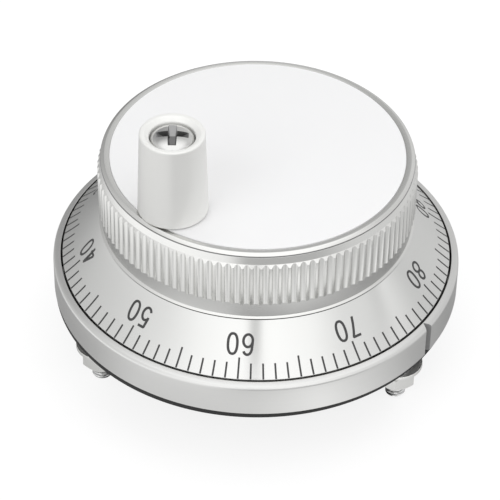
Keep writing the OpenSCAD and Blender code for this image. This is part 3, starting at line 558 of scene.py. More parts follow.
# ---------------------------------------------------------------- panel fixing
# Three zinc-plated studs stand in the dish, each with a rolled M4 thread. A flat washer,
# a split spring washer and a nut on each pull the dish against the panel.
STUD_R = 2.0
STUD_END = -12.7
THREAD_DEPTH = 0.38
THREAD_PITCH = 0.7
THREAD_POINT = 0.25
THREAD_SIDES = 32
THREAD_ROWS = 170
WASHER_TOP = -4.5
WASHER_T = 0.8
WASHER_R = 5.0
WASHER_BORE_R = 2.15
SPRING_T = 1.0
SPRING_R = 3.6
SPRING_BORE_R = 2.1
SPRING_PLAY = 0.02
SLIT_AT = 2.9
SLIT_W = 0.6
SLIT_L = 3.0
SLIT_SLANT = math.radians(35)
NUT_H = 3.0
NUT_AF = 7.0
NUT_BORE_R = 1.8
NUT_MOUTH_R = 2.05
NUT_MOUTH_H = 0.3
NUT_CHAMFER = 0.62
NUT_CHAMFER_H = 0.38
SMALL_TURNED = 96


def new_tree(name, sizes):
    """A Geometry Nodes tree with an input for a mesh, for the material and for each named size."""
    tree = bpy.data.node_groups.new(name, "GeometryNodeTree")
    tree.interface.new_socket("Geometry", in_out="INPUT", socket_type="NodeSocketGeometry")
    tree.interface.new_socket("Material", in_out="INPUT", socket_type="NodeSocketMaterial")
    for label, value in sizes.items():
        kind = "NodeSocketInt" if isinstance(value, int) else NUMBER
        tree.interface.new_socket(label, in_out="INPUT", socket_type=kind).default_value = value
    tree.interface.new_socket("Geometry", in_out="OUTPUT", socket_type="NodeSocketGeometry")
    return tree, *ends_of(tree)


def finish_tree(tree, shape, given, made):
    """Ends a tree with Realize Instances and Set Material."""
    real = step(tree, "GeometryNodeRealizeInstances", shape)
    painted = step(tree, "GeometryNodeSetMaterial", real.outputs[0], into={"Material": given["Material"]})
    feed(tree, made["Geometry"], painted.outputs[0])


def moved_to(tree, shape, place):
    """A shape with its points moved to another place."""
    return step(tree, "GeometryNodeSetPosition", shape, into={"Position": place}).outputs[0]


def position(tree):
    """Where each point of a shape is."""
    return step(tree, "GeometryNodeInputPosition").outputs[0]


def grown(tree, material, mesh=None, **sizes):
    """The plain mesh that a tree makes with these sizes."""
    carrier = bpy.data.objects.new("carrier", mesh or bpy.data.meshes.new("seed"))
    scene.collection.objects.link(carrier)
    growth = carrier.modifiers.new("growth", "NODES")
    growth.node_group = tree
    values = {"Material": material, **sizes}
    for socket in tree.interface.items_tree:
        if socket.in_out == "INPUT" and socket.name in values:
            growth[socket.identifier] = values[socket.name]
    result = settled(carrier)
    bpy.data.objects.remove(carrier)
    return result


# Copies of a mesh in a ring round the Z axis.
ring_tree, given, made = new_tree("ring_of_copies", {"Count": 3, "Radius": 0.01, "First": 0.0})
tree = ring_tree
index = Level(tree, step(tree, "GeometryNodeInputIndex").outputs[0])
angle = index / given["Count"] * (2 * math.pi) + given["First"]
place = join(tree, calc(tree, "COSINE", angle) * given["Radius"], calc(tree, "SINE", angle) * given["Radius"])
points = step(tree, "GeometryNodePoints", given["Count"], place)
turned = step(tree, "FunctionNodeEulerToRotation", join(tree, 0.0, 0.0, angle))
copies = step(tree, "GeometryNodeInstanceOnPoints", points.outputs[0],
              into={"Instance": given["Geometry"], "Rotation": turned.outputs[0]})
finish_tree(tree, copies.outputs[0], given, made)


def on_studs(mesh, material):
    """A mesh copied to each stud by the ring tree."""
    return grown(ring_tree, material, mesh, Count=STUDS, Radius=STUD_CIRCLE_R * MM, First=FIRST_STUD)


# A rolled thread: the skin of a rod whose radius rises and falls along a helix. The flanks
# are steep between a narrow crest and a narrower root, and "root" marks how deep a point lies.
thread_tree, given, made = new_tree("rolled_thread", {
    "Sides": 32, "Rows": 120, "Radius": 0.002, "Depth": 0.0004, "Pitch": 0.0007, "Low": -0.01, "High": 0.0,
    "Point": 0.0005, "Steepness": 1.35, "Root": 0.12})
tree = thread_tree
rod = step(tree, "GeometryNodeMeshCylinder", given["Sides"], given["Rows"], 1, given["Radius"],
           given["High"] - given["Low"])
x, y, z = split(tree, position(tree))
height = z + (given["High"] + given["Low"]) * 0.5
bearing = calc(tree, "ARCTAN2", y, x) / (2 * math.pi)
wave = calc(tree, "FRACT", height / given["Pitch"] - bearing)
crest = 1.0 - abs(wave * 2.0 - 1.0)
flank = Level(tree, step(tree, "ShaderNodeClamp", crest * given["Steepness"] - given["Root"]).outputs[0])
dip = (1.0 - flank) * given["Depth"]
tip = calc(tree, "MAXIMUM", given["Point"] - (height - given["Low"]), 0.0)
scale = (given["Radius"] - calc(tree, "MAXIMUM", dip, tip)) / given["Radius"]
marked = step(tree, "GeometryNodeStoreNamedAttribute", rod.outputs["Mesh"],
              into={"Name": "root", "Value": dip / given["Depth"]}, data_type="FLOAT", domain="POINT")
shaped = moved_to(tree, marked.outputs[0], join(tree, x * scale, y * scale, height))
finish_tree(tree, shaped, given, made)

# Zinc plate, and for the thread a plate that painted shade darkens towards the roots.
zinc = turned_metal("bright_zinc", (0.88, 0.88, 0.86), 0.3, lines=3000.0, depth=0.05, streak=0.05, marks=0.12,
                    metallic=0.8)
PLATE_TONE = 0.8
ROOT_SHADE = 0.68
rolled = turned_metal("zinc_thread_painted_root_shade", (0.8, 0.8, 0.8), 0.25, depth=0.0)
tree = rolled.node_tree
root = Level(tree, step(tree, "ShaderNodeAttribute", attribute_name="root").outputs["Fac"])
# Painted shade: the plate's tone falls the deeper a point lies in the thread.
tone = PLATE_TONE - root * ROOT_SHADE
grey = step(tree, "ShaderNodeCombineColor", tone, tone, tone)
feed(tree, tree.nodes["effect"].inputs["Colour"], grey.outputs[0])
thread = grown(thread_tree, rolled, Sides=THREAD_SIDES, Rows=THREAD_ROWS, Radius=STUD_R * MM,
               Depth=THREAD_DEPTH * MM, Pitch=THREAD_PITCH * MM, Low=STUD_END * MM, High=PAD_TOP * MM,
               Point=THREAD_POINT * MM)
piece("threaded_studs", on_studs(thread, rolled), rolled, "base", "zinc_steel", "panel_studs")

washer_z = WASHER_TOP - WASHER_T
flat = flat_ring(WASHER_BORE_R, WASHER_R, washer_z, WASHER_TOP, 0.15, SMALL_TURNED)
piece("flat_washer_set", on_studs(flat, zinc), zinc, "base", "zinc_steel", "flat_washers")

black_oxide = turned_metal("oiled_spring_steel", (0.32, 0.32, 0.33), 0.36, lines=3000.0, depth=0.05,
                           marks=0.15)
spring_z = washer_z - SPRING_T
spring = flat_ring(SPRING_BORE_R, SPRING_R, spring_z + SPRING_PLAY, washer_z - SPRING_PLAY, 0.15,
                   SMALL_TURNED)
half_w = SLIT_W / 2
half_l = SLIT_L / 2
slanted = (Matrix.Translation((SLIT_AT * MM, 0, (spring_z + SPRING_T / 2) * MM))
           @ Matrix.Rotation(SLIT_SLANT, 4, "X") @ Matrix.Translation((0, 0, -half_l * MM)))
slit = prism([(-half_w, -half_l), (half_w, -half_l), (half_w, half_l), (-half_w, half_l)], 0, SLIT_L, slanted)
springs = on_studs(combined(spring, [slit], "DIFFERENCE"), black_oxide)
piece("split_washer_set", springs, black_oxide, "base", "spring_steel", "spring_washers")

nut_z = spring_z - NUT_H
corner_r = NUT_AF / math.sqrt(3)
blank_r = corner_r + 0.02
turned_blank = lathe(softened([
    (0, nut_z), (corner_r - NUT_CHAMFER, nut_z, 0.1), (blank_r, nut_z + NUT_CHAMFER_H, 0),
    (blank_r, spring_z - NUT_CHAMFER_H, 0), (corner_r - NUT_CHAMFER, spring_z, 0.1),
    (0, spring_z)], 0), SMALL_TURNED)
drill = lathe([
    (0, nut_z - 1), (NUT_MOUTH_R, nut_z - 1), (NUT_MOUTH_R, nut_z), (NUT_BORE_R, nut_z + NUT_MOUTH_H),
    (NUT_BORE_R, spring_z - NUT_MOUTH_H), (NUT_MOUTH_R, spring_z), (NUT_MOUTH_R, spring_z + 1),
    (0, spring_z + 1)], 48)
nut = combined(prism(circle(corner_r, 6), nut_z, spring_z), [turned_blank], "INTERSECT")
nut = combined(nut, [drill], "DIFFERENCE")
piece("hex_nut_set", on_studs(nut, zinc), zinc, "base", "zinc_steel", "hex_nuts")

# ---------------------------------------------------------------- shaft and bearings
# Two deep-groove ball bearings sit in the dish's boss, with a spacer between their outer
# rings and one between their inner rings. A snap ring holds them and the shaft runs in them.


def dress(material, *nodes):
    """Gives CAD pieces that stay in view their finish."""
    for name in nodes:
        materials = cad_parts[name].data.materials
        materials.clear()
        materials.append(material)


ground_steel = turned_metal("ground_bearing_steel", (0.68, 0.69, 0.70), 0.16, lines=14000.0, depth=0.04)
for place in ("lower", "upper"):
    dress(ground_steel, place + "_outer_ring", place + "_inner_ring", place + "_balls")
turned_steel = turned_metal("turned_shaft_steel", (0.62, 0.62, 0.62), 0.3, lines=7000.0, depth=0.12)
dress(turned_steel, "outer_spacer", "inner_spacer", "shaft")
dress(black_oxide, "bearing_circlip")
cage_nylon = skinned("cage_nylon", (0.62, 0.56, 0.42), 0.45)
dress(cage_nylon, "lower_cage", "upper_cage")

# ---------------------------------------------------------------- magnetic click
# Two toothed pole plates with a ring magnet between them are screwed on the boss, and a
# toothed ring of soft iron turns round them in the wheel, so each graduation can be felt.
soft_iron = turned_metal("stamped_soft_iron", (0.42, 0.42, 0.43), 0.42, lines=2500.0, depth=0.08, marks=0.2)
dress(soft_iron, "click_lower_pole", "click_upper_pole", "click_rotor")
dress(skinned("sintered_magnet", (0.09, 0.09, 0.1), 0.55, depth=0.4), "click_magnet")
dress(zinc, "click_screws")

# ---------------------------------------------------------------- dial skirt
# A hollow cone of turned aluminium, let into the wheel from below and held by three screws.
# Its face is a hollow curve, with a hundred engraved ticks and ten numbers filled in black.
DIAL_R = 38.15
DIAL_EDGE = 8.1
DIAL_EDGE_H = 2.3
NECK_R = 30.3
DIAL_TOP = 16.8
SEAT = 16.6
FACE_CURVE = 38.0
FACE_STEPS = 22
FACE_END = 0.6
BACK_STEPS = 17
SKIRT_T = 1.8
FLANGE_R = 30.6
FLANGE_BACK_R = 29.2
FLANGE_DROP = 0.3
WHEEL_BORE = 27.0
SPIGOT_PLAY = 0.02
SPIGOT_T = 2.0
SPIGOT_H = 2.5
TICKS = 100
TICK_START = 0.05
TICK_SHORT = 3.0
TICK_LONG = 4.0
TICK_W = 0.36
PAINT_T = 0.02
NUMBER_START = 4.38
NUMBER_H = 4.3
DIGIT_W = 2.35
DIGIT_GAP = 0.5
STROKE = 0.5
ZERO_AT = math.radians(173.1)

edge = Vector((DIAL_R, DIAL_EDGE))
crown = Vector((NECK_R, DIAL_TOP))
chord = crown - edge
bow = math.sqrt(FACE_CURVE ** 2 - chord.length_squared / 4)
face_centre = (edge + crown) / 2 + Vector((chord.y, -chord.x)).normalized() * bow
FACE_START = math.atan2(edge.y - face_centre.y, edge.x - face_centre.x)


def on_face(inward, lift=0.0):
    """The (radius, height) of a spot on the face, by its distance from the outer edge."""
    a = FACE_START - inward / FACE_CURVE
    arm = FACE_CURVE - lift
    return face_centre.x + arm * math.cos(a), face_centre.y + arm * math.sin(a)


satin = turned_metal("satin_dial", (0.70, 0.702, 0.69), 0.23, lines=12000.0, depth=0.05, anisotropic=0.9)
face_length = FACE_CURVE * 2 * math.asin(chord.length / 2 / FACE_CURVE)
steps = [k * (face_length - FACE_END) / FACE_STEPS for k in range(1, FACE_STEPS + 1)]
face = [(*on_face(k), 0) for k in steps]
back = [(*on_face(k, -SKIRT_T), 0) for k in steps[:BACK_STEPS]]
spigot_r = WHEEL_BORE - SPIGOT_PLAY
spigot_in_r = WHEEL_BORE - SPIGOT_T
skirt = lathe(softened([(DIAL_R, DIAL_EDGE, 0.04)] + face + [
    (FLANGE_R, SEAT - FLANGE_DROP, 0), (spigot_r, SEAT - FLANGE_DROP, 0), (spigot_r, SEAT + SPIGOT_H, 0.2),
    (spigot_in_r, SEAT + SPIGOT_H, 0.2), (spigot_in_r, SEAT - SKIRT_T, 0.2),
    (FLANGE_BACK_R, SEAT - SKIRT_T, 0)] + back[::-1] + [(DIAL_R, DIAL_EDGE - DIAL_EDGE_H, 0.12)], 0.1), 360)
piece("dial_skirt_shell", skirt, satin, "wheel", "dial_aluminium", "dial_skirt")
dress(zinc, "skirt_screws")

# Lays flat artwork on the hollow face: X runs across, Y in from the edge, Z out of the face.
wrap = bpy.data.node_groups.new("lay_on_face", "GeometryNodeTree")
for label, kind in (("Flat", ARROW), ("Turn", NUMBER)):
    wrap.interface.new_socket(label, in_out="INPUT", socket_type=kind)
wrap.interface.new_socket("Position", in_out="OUTPUT", socket_type=ARROW)
given, made = ends_of(wrap)
x, y, z = split(wrap, given["Flat"])
lean = FACE_START - y / (FACE_CURVE * MM)
curve = FACE_CURVE * MM - z
reach = curve * calc(wrap, "COSINE", lean) + face_centre.x * MM
rise = curve * calc(wrap, "SINE", lean) + face_centre.y * MM
bearing = given["Turn"] - x / reach
laid = join(wrap, reach * calc(wrap, "COSINE", bearing), reach * calc(wrap, "SINE", bearing), rise)
feed(wrap, made["Position"], laid)


def laid_on_face(tree, shape, turn):
    """A flat shape laid on the face at a bearing. That mirrors it, so its faces are flipped back outwards."""
    fold = step(tree, "GeometryNodeGroup", node_tree=wrap)
    feed(tree, fold.inputs["Flat"], position(tree))
    feed(tree, fold.inputs["Turn"], turn)
    return step(tree, "GeometryNodeFlipFaces", moved_to(tree, shape, fold.outputs[0])).outputs[0]


# The ticks: one bar for each click, and each fifth bar longer.
tick_tree, given, made = new_tree("dial_ticks", {
    "Count": TICKS, "Start": 0.0003, "Short": 0.003, "Long": 0.004, "Width": 0.0003, "Thickness": 0.0,
    "Zero": 0.0, "Longer each": 5})
tree = tick_tree
bar_size = join(tree, given["Width"], given["Short"], given["Thickness"])
bar = step(tree, "GeometryNodeMeshCube", bar_size, 2, 9, 2)
half = join(tree, 0.0, given["Short"] * 0.5)
raised = step(tree, "GeometryNodeTransform", bar.outputs[0], into={"Translation": half})
points = step(tree, "GeometryNodePoints", given["Count"])
index = Level(tree, step(tree, "GeometryNodeInputIndex").outputs[0])
numbered = step(tree, "GeometryNodeCaptureAttribute", points.outputs[0])
numbered.capture_items.new("FLOAT", "tick")
feed(tree, numbered.inputs["tick"], index)
fifth = calc(tree, "LESS_THAN", calc(tree, "FLOORED_MODULO", index, given["Longer each"]), 0.5)
stretch = fifth * (given["Long"] / given["Short"] - 1.0) + 1.0
bars = step(tree, "GeometryNodeInstanceOnPoints", numbered.outputs[0],
            into={"Instance": raised.outputs[0], "Scale": join(tree, 1.0, stretch, 1.0)})
real = step(tree, "GeometryNodeRealizeInstances", bars.outputs[0])
inset = step(tree, "GeometryNodeSetPosition", real.outputs[0],
             into={"Offset": join(tree, 0.0, given["Start"])})
turn = Level(tree, numbered.outputs["tick"]) / given["Count"] * (2 * math.pi) + given["Zero"]
finish_tree(tree, laid_on_face(tree, inset.outputs[0], turn), given, made)

fill = skinned("black_engraver_fill", (0.045, 0.045, 0.045), 0.5, grain=9000.0, mottle=0.25)
ticks = grown(tick_tree, fill, Start=TICK_START * MM, Short=TICK_SHORT * MM, Long=TICK_LONG * MM,
              Width=TICK_W * MM, Thickness=2 * PAINT_T * MM, Zero=ZERO_AT)
piece("dial_tick_marks", ticks, fill, "wheel", "dial_aluminium")


def arc(cx, cy, rx, ry, start, end, count=22):
    """Points of an elliptical arc, in degrees."""
    turns = [math.radians(start + (end - start) * k / count) for k in range(count + 1)]
    return [(cx + rx * math.cos(a), cy + ry * math.sin(a)) for a in turns]


OVAL_POINTS = 32


def oval(rx, ry, cy, square=1.0):
    """A closed upright oval; under 1, square straightens its sides."""
    turns = [2 * math.pi * k / OVAL_POINTS for k in range(OVAL_POINTS)]
    return [(math.copysign(abs(math.cos(a)) ** square, math.cos(a)) * rx,
             cy + math.copysign(abs(math.sin(a)) ** square, math.sin(a)) * ry) for a in turns]


# The centre lines of each digit, from -1 to 1 across and from 0 to 1 up.
SIX = arc(0.02, 0.69, 0.88, 0.31, 28, 168) + arc(0, 0.31, 0.95, 0.31, 176, 530)
DIGITS = {
    "0": [oval(0.95, 0.5, 0.5, 0.86)],
    "1": [[(-0.5, 0.8), (0.12, 1)], [(0.12, 1), (0.12, 0)]],
    "2": [arc(0, 0.72, 0.88, 0.28, 165, -25) + [(-0.9, 0)], [(-0.95, 0), (0.95, 0)]],
    "3": [arc(0, 0.76, 0.8, 0.24, 160, -80), arc(0, 0.265, 0.93, 0.265, 85, -160)],
    "4": [[(0.42, 0), (0.42, 1)], [(0.42, 1), (-0.9, 0.27)], [(-0.9, 0.27), (0.95, 0.27)]],
    "5": [[(0.8, 1), (-0.68, 1)], [(-0.62, 1.03), (-0.76, 0.46)], arc(0, 0.325, 0.93, 0.325, 145, -155)],
    "6": [SIX],
    "7": [[(-0.93, 1), (0.95, 1)], [(0.88, 1.03), (0.4, 0.68), (0.08, 0.36), (-0.12, 0)]],
    "8": [oval(0.78, 0.235, 0.765), oval(0.95, 0.265, 0.265)],
    "9": [[(-x, 1 - y) for x, y in SIX]],
}


def number_lines():
    """The centre lines of all the numbers as flat artwork, each point with its bearing on the dial."""
    shaper = bmesh.new()
    bearing = shaper.verts.layers.float.new("turn")
    for value in range(0, TICKS, 10):
        text = str(value)
        for place, digit in enumerate(text):
            across = (place - (len(text) - 1) / 2) * (DIGIT_W + DIGIT_GAP)
            for line in DIGITS[digit]:
                row = []
                for x, y in line:
                    inward = NUMBER_START + STROKE / 2 + (1 - y) * (NUMBER_H - STROKE)
                    spot = Vector((across + x * (DIGIT_W - STROKE) / 2, inward, PAINT_T / 2))
                    vert = shaper.verts.new(spot * MM)
                    vert[bearing] = ZERO_AT + value * 2 * math.pi / TICKS
                    row.append(vert)
                closed = len(line) == OVAL_POINTS
                for pair in zip(row, row[1:] + (row[:1] if closed else [])):
                    shaper.edges.new(pair)
    return mesh_of(shaper, "number_lines")


# The numbers: a flat stroke run along each centre line.
number_tree, given, made = new_tree("dial_numbers", {"Stroke": 0.0003, "Thickness": 0.0})
tree = number_tree
lines = step(tree, "GeometryNodeMeshToCurve", given["Geometry"])
strip = step(tree, "GeometryNodeCurvePrimitiveQuadrilateral", given["Stroke"], given["Thickness"])
level = step(tree, "GeometryNodeSetCurveNormal", lines.outputs[0], mode="Z_UP")
strokes = step(tree, "GeometryNodeCurveToMesh", level.outputs[0], strip.outputs[0], into={"Fill Caps": True})
turn = step(tree, "GeometryNodeInputNamedAttribute", "turn", data_type="FLOAT").outputs[0]
finish_tree(tree, laid_on_face(tree, strokes.outputs[0], turn), given, made)
numbers = grown(number_tree, fill, number_lines(), Stroke=STROKE * MM, Thickness=PAINT_T * MM)
piece("dial_number_marks", numbers, fill, "wheel", "dial_aluminium")

# ---------------------------------------------------------------- hand wheel
# Turned from aluminium and polished: a foot, a plain neck, a band of flutes that a round
# cutter left, a bevel and a rim round the white disc. It is clamped on the shaft's end.
FOOT_R = 30.75
FOOT_H = 0.08
GRIP_R = 30.8
GRIP_Z = 20.1
SHOULDER_Z = 28.9
BAND_R = 30.35
BAND_Z = 29.6
RIM_R = 29.45
RIM_Z = 31.8
RIM_FALL = 0.12
GROOVE_R = 29.8
GROOVE_Z = 31.15
DISC_Z = 31.3
DISC_R = 28.4
DISC_SEAT_R = 28.45
PLATE_Z = 28.1
HUB_R = 9.0
HUB_Z = 22.6
NOSE_R = 6.0
NOSE_Z = 21.0
SHAFT_R = 4.0
SCREW_WELL_R = 6.5
SCREW_WELL_Z = 28.3
FLUTES = 110
FLUTE_R = 0.75
FLUTE_DEPTH = 0.4
FLUTE_EDGE = 0.06
CRANK_ANGLE = math.radians(-8.7)
CRANK_R = 23.2

# The flutes: rows marked "band" move in where the cutter ran, and the row marked "arch"
# climbs the bevel to meet the flute's floor.
flute_tree, given, made = new_tree("wheel_flutes", {
    "Count": FLUTES, "First": 0.0, "Ridge": 0.03, "Cutter": 0.0007, "Depth": 0.0004, "Soft": 0.00005,
    "Climb": 1.5})
tree = flute_tree
x, y, z = split(tree, position(tree))
reach = calc(tree, "SQRT", x * x + y * y)
turn = calc(tree, "ARCTAN2", y, x) - given["First"]
pitch = calc(tree, "DIVIDE", 2 * math.pi, given["Count"])
flutes_on = turn / pitch
aside = (flutes_on - calc(tree, "ROUND", flutes_on)) * (pitch * given["Ridge"])
inside = calc(tree, "MAXIMUM", given["Cutter"] * given["Cutter"] - aside * aside, 0.0)
groove = given["Ridge"] - given["Depth"] + given["Cutter"] - calc(tree, "SQRT", inside)
cut = calc(tree, "SMOOTH_MIN", reach, groove, given["Soft"])
band = Level(tree, step(tree, "GeometryNodeInputNamedAttribute", "band", data_type="FLOAT").outputs[0])
arch = Level(tree, step(tree, "GeometryNodeInputNamedAttribute", "arch", data_type="FLOAT").outputs[0])
scale = (reach + band * (cut - reach)) / calc(tree, "MAXIMUM", reach, 1e-6)
climbed = z + arch * ((given["Ridge"] - cut) * given["Climb"])
finish_tree(tree, moved_to(tree, given["Geometry"], join(tree, x * scale, y * scale, climbed)), given, made)

pitch_angle = 2 * math.pi / FLUTES
half_steps = (0.09, 0.18, 0.27, 0.33, 0.377, 0.41, 0.46)
flute_steps = [-s for s in half_steps[::-1]] + [0, *half_steps]
wheel_bearings = [CRANK_ANGLE + pitch_angle * (i + s) for i in range(FLUTES) for s in flute_steps]
polished = turned_metal("polished_wheel", (0.72, 0.72, 0.705), 0.22, streak=0.05)
wheel_outline = softened([
    (GRIP_R - 0.05, GRIP_Z, 0), (GRIP_R, GRIP_Z + 0.1, 0), (GRIP_R, SHOULDER_Z, 0), (BAND_R, BAND_Z, 0.12),
    (BAND_R - 0.13, GROOVE_Z, 0.03), (GROOVE_R, GROOVE_Z + 0.07, 0.02), (BAND_R - 0.2, GROOVE_Z + 0.23, 0.04),
    (RIM_R, RIM_Z, 0.06), (DISC_SEAT_R, RIM_Z - RIM_FALL, 0.04), (DISC_SEAT_R, DISC_Z, 0),
    (SCREW_WELL_R, DISC_Z, 0), (SCREW_WELL_R, SCREW_WELL_Z, 0), (SHAFT_R, SCREW_WELL_Z, 0),
    (SHAFT_R, NOSE_Z, 0), (NOSE_R, NOSE_Z, 0), (NOSE_R, HUB_Z, 0), (HUB_R, HUB_Z, 0), (HUB_R, PLATE_Z, 0),
    (WHEEL_BORE - 1, PLATE_Z, 0), (WHEEL_BORE, PLATE_Z - 1, 0), (WHEEL_BORE, SEAT, 0), (FOOT_R, SEAT, 0.03),
    (FOOT_R, SEAT + FOOT_H, 0.04),
    (NECK_R, DIAL_TOP + 0.12, 0.04), (NECK_R, GRIP_Z, 0)], 0.05)
wheel = lathe(wheel_outline, bearings=wheel_bearings)
for name, rows in (("band", (0, 1, 2)), ("arch", (2,))):
    levels = [float(i // len(wheel_bearings) in rows) for i in range(len(wheel.vertices))]
    wheel.attributes.new(name, "FLOAT", "POINT").data.foreach_set("value", levels)
wheel = grown(flute_tree, polished, wheel, First=CRANK_ANGLE, Ridge=GRIP_R * MM, Cutter=FLUTE_R * MM,
              Depth=FLUTE_DEPTH * MM, Soft=FLUTE_EDGE * MM, Climb=(BAND_Z - SHOULDER_Z) / (GRIP_R - BAND_R))
wheel = piece("fluted_hand_wheel", wheel, polished, "wheel", "wheel_aluminium", "hand_wheel")


def on_neck(at, out):
    """Whether a face is on the plain neck under the flutes."""
    return DIAL_TOP + 0.2 < at.z < GRIP_Z - 0.1 and at.xy.length > NECK_R - 1


def in_hairline(at, out):
    """Whether a face is in the fine groove between the band and the rim."""
    return GROOVE_Z < at.z < GROOVE_Z + 0.19 and GROOVE_R - 0.05 < at.xy.length < BAND_R - 0.2


# The plain neck gets a darker copy of the wheel's polished metal: painted shade under the flutes.
refinish(wheel, turned_metal("neck_painted_shade_metal", (0.52, 0.52, 0.51), 0.26, lines=7000.0, depth=0.12), on_neck)
# Painted shade: the fine groove between the band and the rim gets the notch's dark grey.
refinish(wheel, groove_painted_shade, in_hairline)
dress(zinc, "wheel_washer", "wheel_screw")

# ---------------------------------------------------------------- white disc
# A white lacquered disc lies in the wheel's top, with a hole for the crank handle's foot.
DISC_T = 0.52
HANDLE_HOLE_R = 5.2
crank = (CRANK_R * math.cos(CRANK_ANGLE), CRANK_R * math.sin(CRANK_ANGLE))
lacquer = skinned("white_lacquer", (0.86, 0.86, 0.865), 0.35, grain=2200.0, depth=0.05, mottle=0.012)
disc_top = DISC_Z + DISC_T
disc = lathe(softened([(0, DISC_Z), (DISC_R, DISC_Z, 0), (DISC_R, disc_top, 0.08), (0, disc_top)], 0))
disc = combined(disc, [prism(circle(HANDLE_HOLE_R, 64, crank), DISC_Z - 1, DISC_Z + 2)], "DIFFERENCE")
piece("white_top_disc", disc, lacquer, "wheel", "white_disc", "top_disc")

# ---------------------------------------------------------------- crank handle
# A tapered grip in satin silver turns on a steel sleeve between two washers. A chrome
# cross-head screw in its well runs through the sleeve into the wheel.
GRIP_FOOT = 32.1
GRIP_HEAD = 49.5
GRIP_FOOT_R = 6.65
GRIP_HEAD_R = 6.1
GRIP_WELL_R = 4.3
GRIP_WELL_Z = 46.1
GRIP_MOUTH = 0.9
GRIP_MOUTH_H = 0.75
GRIP_BORE_R = 3.08
SCREW_R = 2.0
SCREW_END = 25.4
SCREW_SEAT = 46.7
SCREW_HEAD_R = 4.1
SCREW_HEAD_H = 2.72
CROSS_SPAN = 1.86 * SCREW_HEAD_R
CROSS_W = 0.42 * SCREW_HEAD_R
CROSS_DEPTH = 0.58 * SCREW_HEAD_H
CROSS_TURN = math.radians(124)

silver = skinned("satin_silver_grip", (0.87, 0.87, 0.85), 0.36, grain=7000.0, depth=0.12, mottle=0.03,
                 metallic=0.22)
silver.node_tree.nodes["Principled BSDF"].inputs["Specular IOR Level"].default_value = 0.15
grip = lathe(softened([
    (GRIP_BORE_R, GRIP_FOOT, 0.1), (GRIP_FOOT_R, GRIP_FOOT, 0.25), (GRIP_HEAD_R, GRIP_HEAD, 0.55),
    (GRIP_WELL_R + GRIP_MOUTH, GRIP_HEAD, 0.3), (GRIP_WELL_R, GRIP_HEAD - GRIP_MOUTH_H, 0.5),
    (GRIP_WELL_R, GRIP_WELL_Z, 0.2), (GRIP_BORE_R, GRIP_WELL_Z, 0.1)], 0.2, 6), 144, crank)
piece("crank_grip_shell", grip, silver, "crank_grip", "grip_plastic", "handle_grip")
dress(cage_nylon, "handle_base_washer")
dress(turned_steel, "handle_sleeve", "handle_washer")


def cross_wing(turn):
    """One wedge of a driver's bit, which tapers downwards."""
    shaper = bmesh.new()
    corners = []
    for level, share in ((SCREW_HEAD_H + 0.2, 1.05), (SCREW_HEAD_H - CROSS_DEPTH, 0.3)):
        for sx, sy in ((-1, -1), (1, -1), (1, 1), (-1, 1)):
            corner = Vector((sx * CROSS_SPAN / 2 * share, sy * CROSS_W / 2 * (0.4 + 0.6 * share), level)) * MM
            corners.append(shaper.verts.new(Matrix.Rotation(turn, 3, "Z") @ corner))
    for ring in ((3, 2, 1, 0), (4, 5, 6, 7), (0, 1, 5, 4), (1, 2, 6, 5), (2, 3, 7, 6), (3, 0, 4, 7)):
        shaper.faces.new([corners[k] for k in ring])
    return mesh_of(shaper, "wing")


def dome_height(share):
    """How high the screw's head stands over its seat, at a share of its radius."""
    return SCREW_HEAD_H * (0.5 + 0.5 * math.sqrt(max(0.0, 1 - share ** 2)))


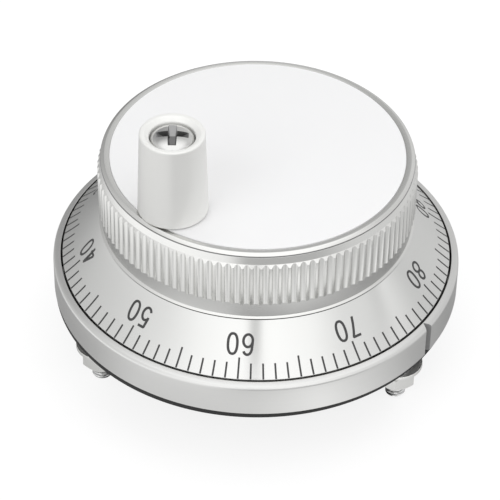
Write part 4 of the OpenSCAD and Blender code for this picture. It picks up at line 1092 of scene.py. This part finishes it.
chrome = turned_metal("bright_chrome", (0.66, 0.66, 0.65), 0.13, centre=(*crank, 0), lines=2500.0, depth=0.03,
                      streak=0.02)
shank_l = SCREW_SEAT - SCREW_END
climb = [math.radians(6 * k) for k in range(15)]
dome = [(SCREW_HEAD_R * math.cos(a), dome_height(math.cos(a)), 0) for a in climb]
screw = lathe(softened([
    (0, -shank_l), (SCREW_R * 0.8, -shank_l, 0), (SCREW_R, SCREW_R * 0.2 - shank_l, 0), (SCREW_R, 0, 0),
    (SCREW_HEAD_R, 0, 0.08)] + dome + [(0, SCREW_HEAD_H, 0)], 0.1, 6), 64)
screw = combined(screw, [cross_wing(CROSS_TURN), cross_wing(CROSS_TURN + math.pi / 2)], "DIFFERENCE")
screw.transform(Matrix.Translation((crank[0] * MM, crank[1] * MM, SCREW_SEAT * MM)))
screw = piece("crank_cross_screw", screw, chrome, "wheel", "chrome_screw", "handle_screw")


def in_recess(at, out):
    """Whether a face lies in the cross, below the dome and short of the wing that opens to the front."""
    aside = at.xy - Vector(crank)
    share = aside.length / SCREW_HEAD_R
    to_front = aside.dot(Vector((math.sin(VIEW_TURN), -math.cos(VIEW_TURN))))
    if to_front > SCREW_HEAD_R * 0.3 and out.z > 0.6:
        return False
    return share < 0.85 and SCREW_SEAT < at.z < SCREW_SEAT + dome_height(share) - 0.15


# Painted shade: the cross's walls and floor get a dark copy of the chrome, apart from the wing that opens
# towards the camera.
recess = turned_metal("chrome_recess_painted_shade", (0.3, 0.3, 0.3), 0.3, centre=(*crank, 0), depth=0.02)
refinish(screw, recess, in_recess)

# ---------------------------------------------------------------- encoder
# A brass hub on the shaft carries the slotted disc, which runs in the fork of a light
# sensor. The sensor stands on a round board with the line driver and the resistors.
dress(turned_metal("turned_brass", (0.70, 0.54, 0.28), 0.28, lines=7000.0), "disc_hub", "disc_clamp")
dress(turned_metal("etched_code_disc", (0.55, 0.56, 0.58), 0.3, depth=0.05), "code_disc")
dress(black_oxide, "hub_set_screw")
black_mould = skinned("black_moulding", (0.022, 0.022, 0.024), 0.46, grain=5200.0, depth=0.35, mottle=0.12)
dress(black_mould, "photo_sensor", "board_components")
laminate = skinned("green_laminate", (0.02, 0.14, 0.06), 0.3, grain=1800.0, depth=0.15, mottle=0.25)
dress(laminate, "circuit_board")
dress(zinc, "board_screws")

# ---------------------------------------------------------------- rear housing
# A black moulded cup closes the back. Three screws in deep counterbores hold it on the dish.
dress(black_mould, "rear_housing")
dress(zinc, "housing_screws")

# ---------------------------------------------------------------- terminals
# Six plated tags stand between moulded ribs, each with a wire clamp under its screw.
dress(black_mould, "terminal_block")
nickel = turned_metal("nickel_plated_brass", (0.70, 0.68, 0.62), 0.27, lines=2500.0, depth=0.05, marks=0.12)
dress(nickel, "terminal_plates")
dress(zinc, "wire_clamps", "terminal_screws")
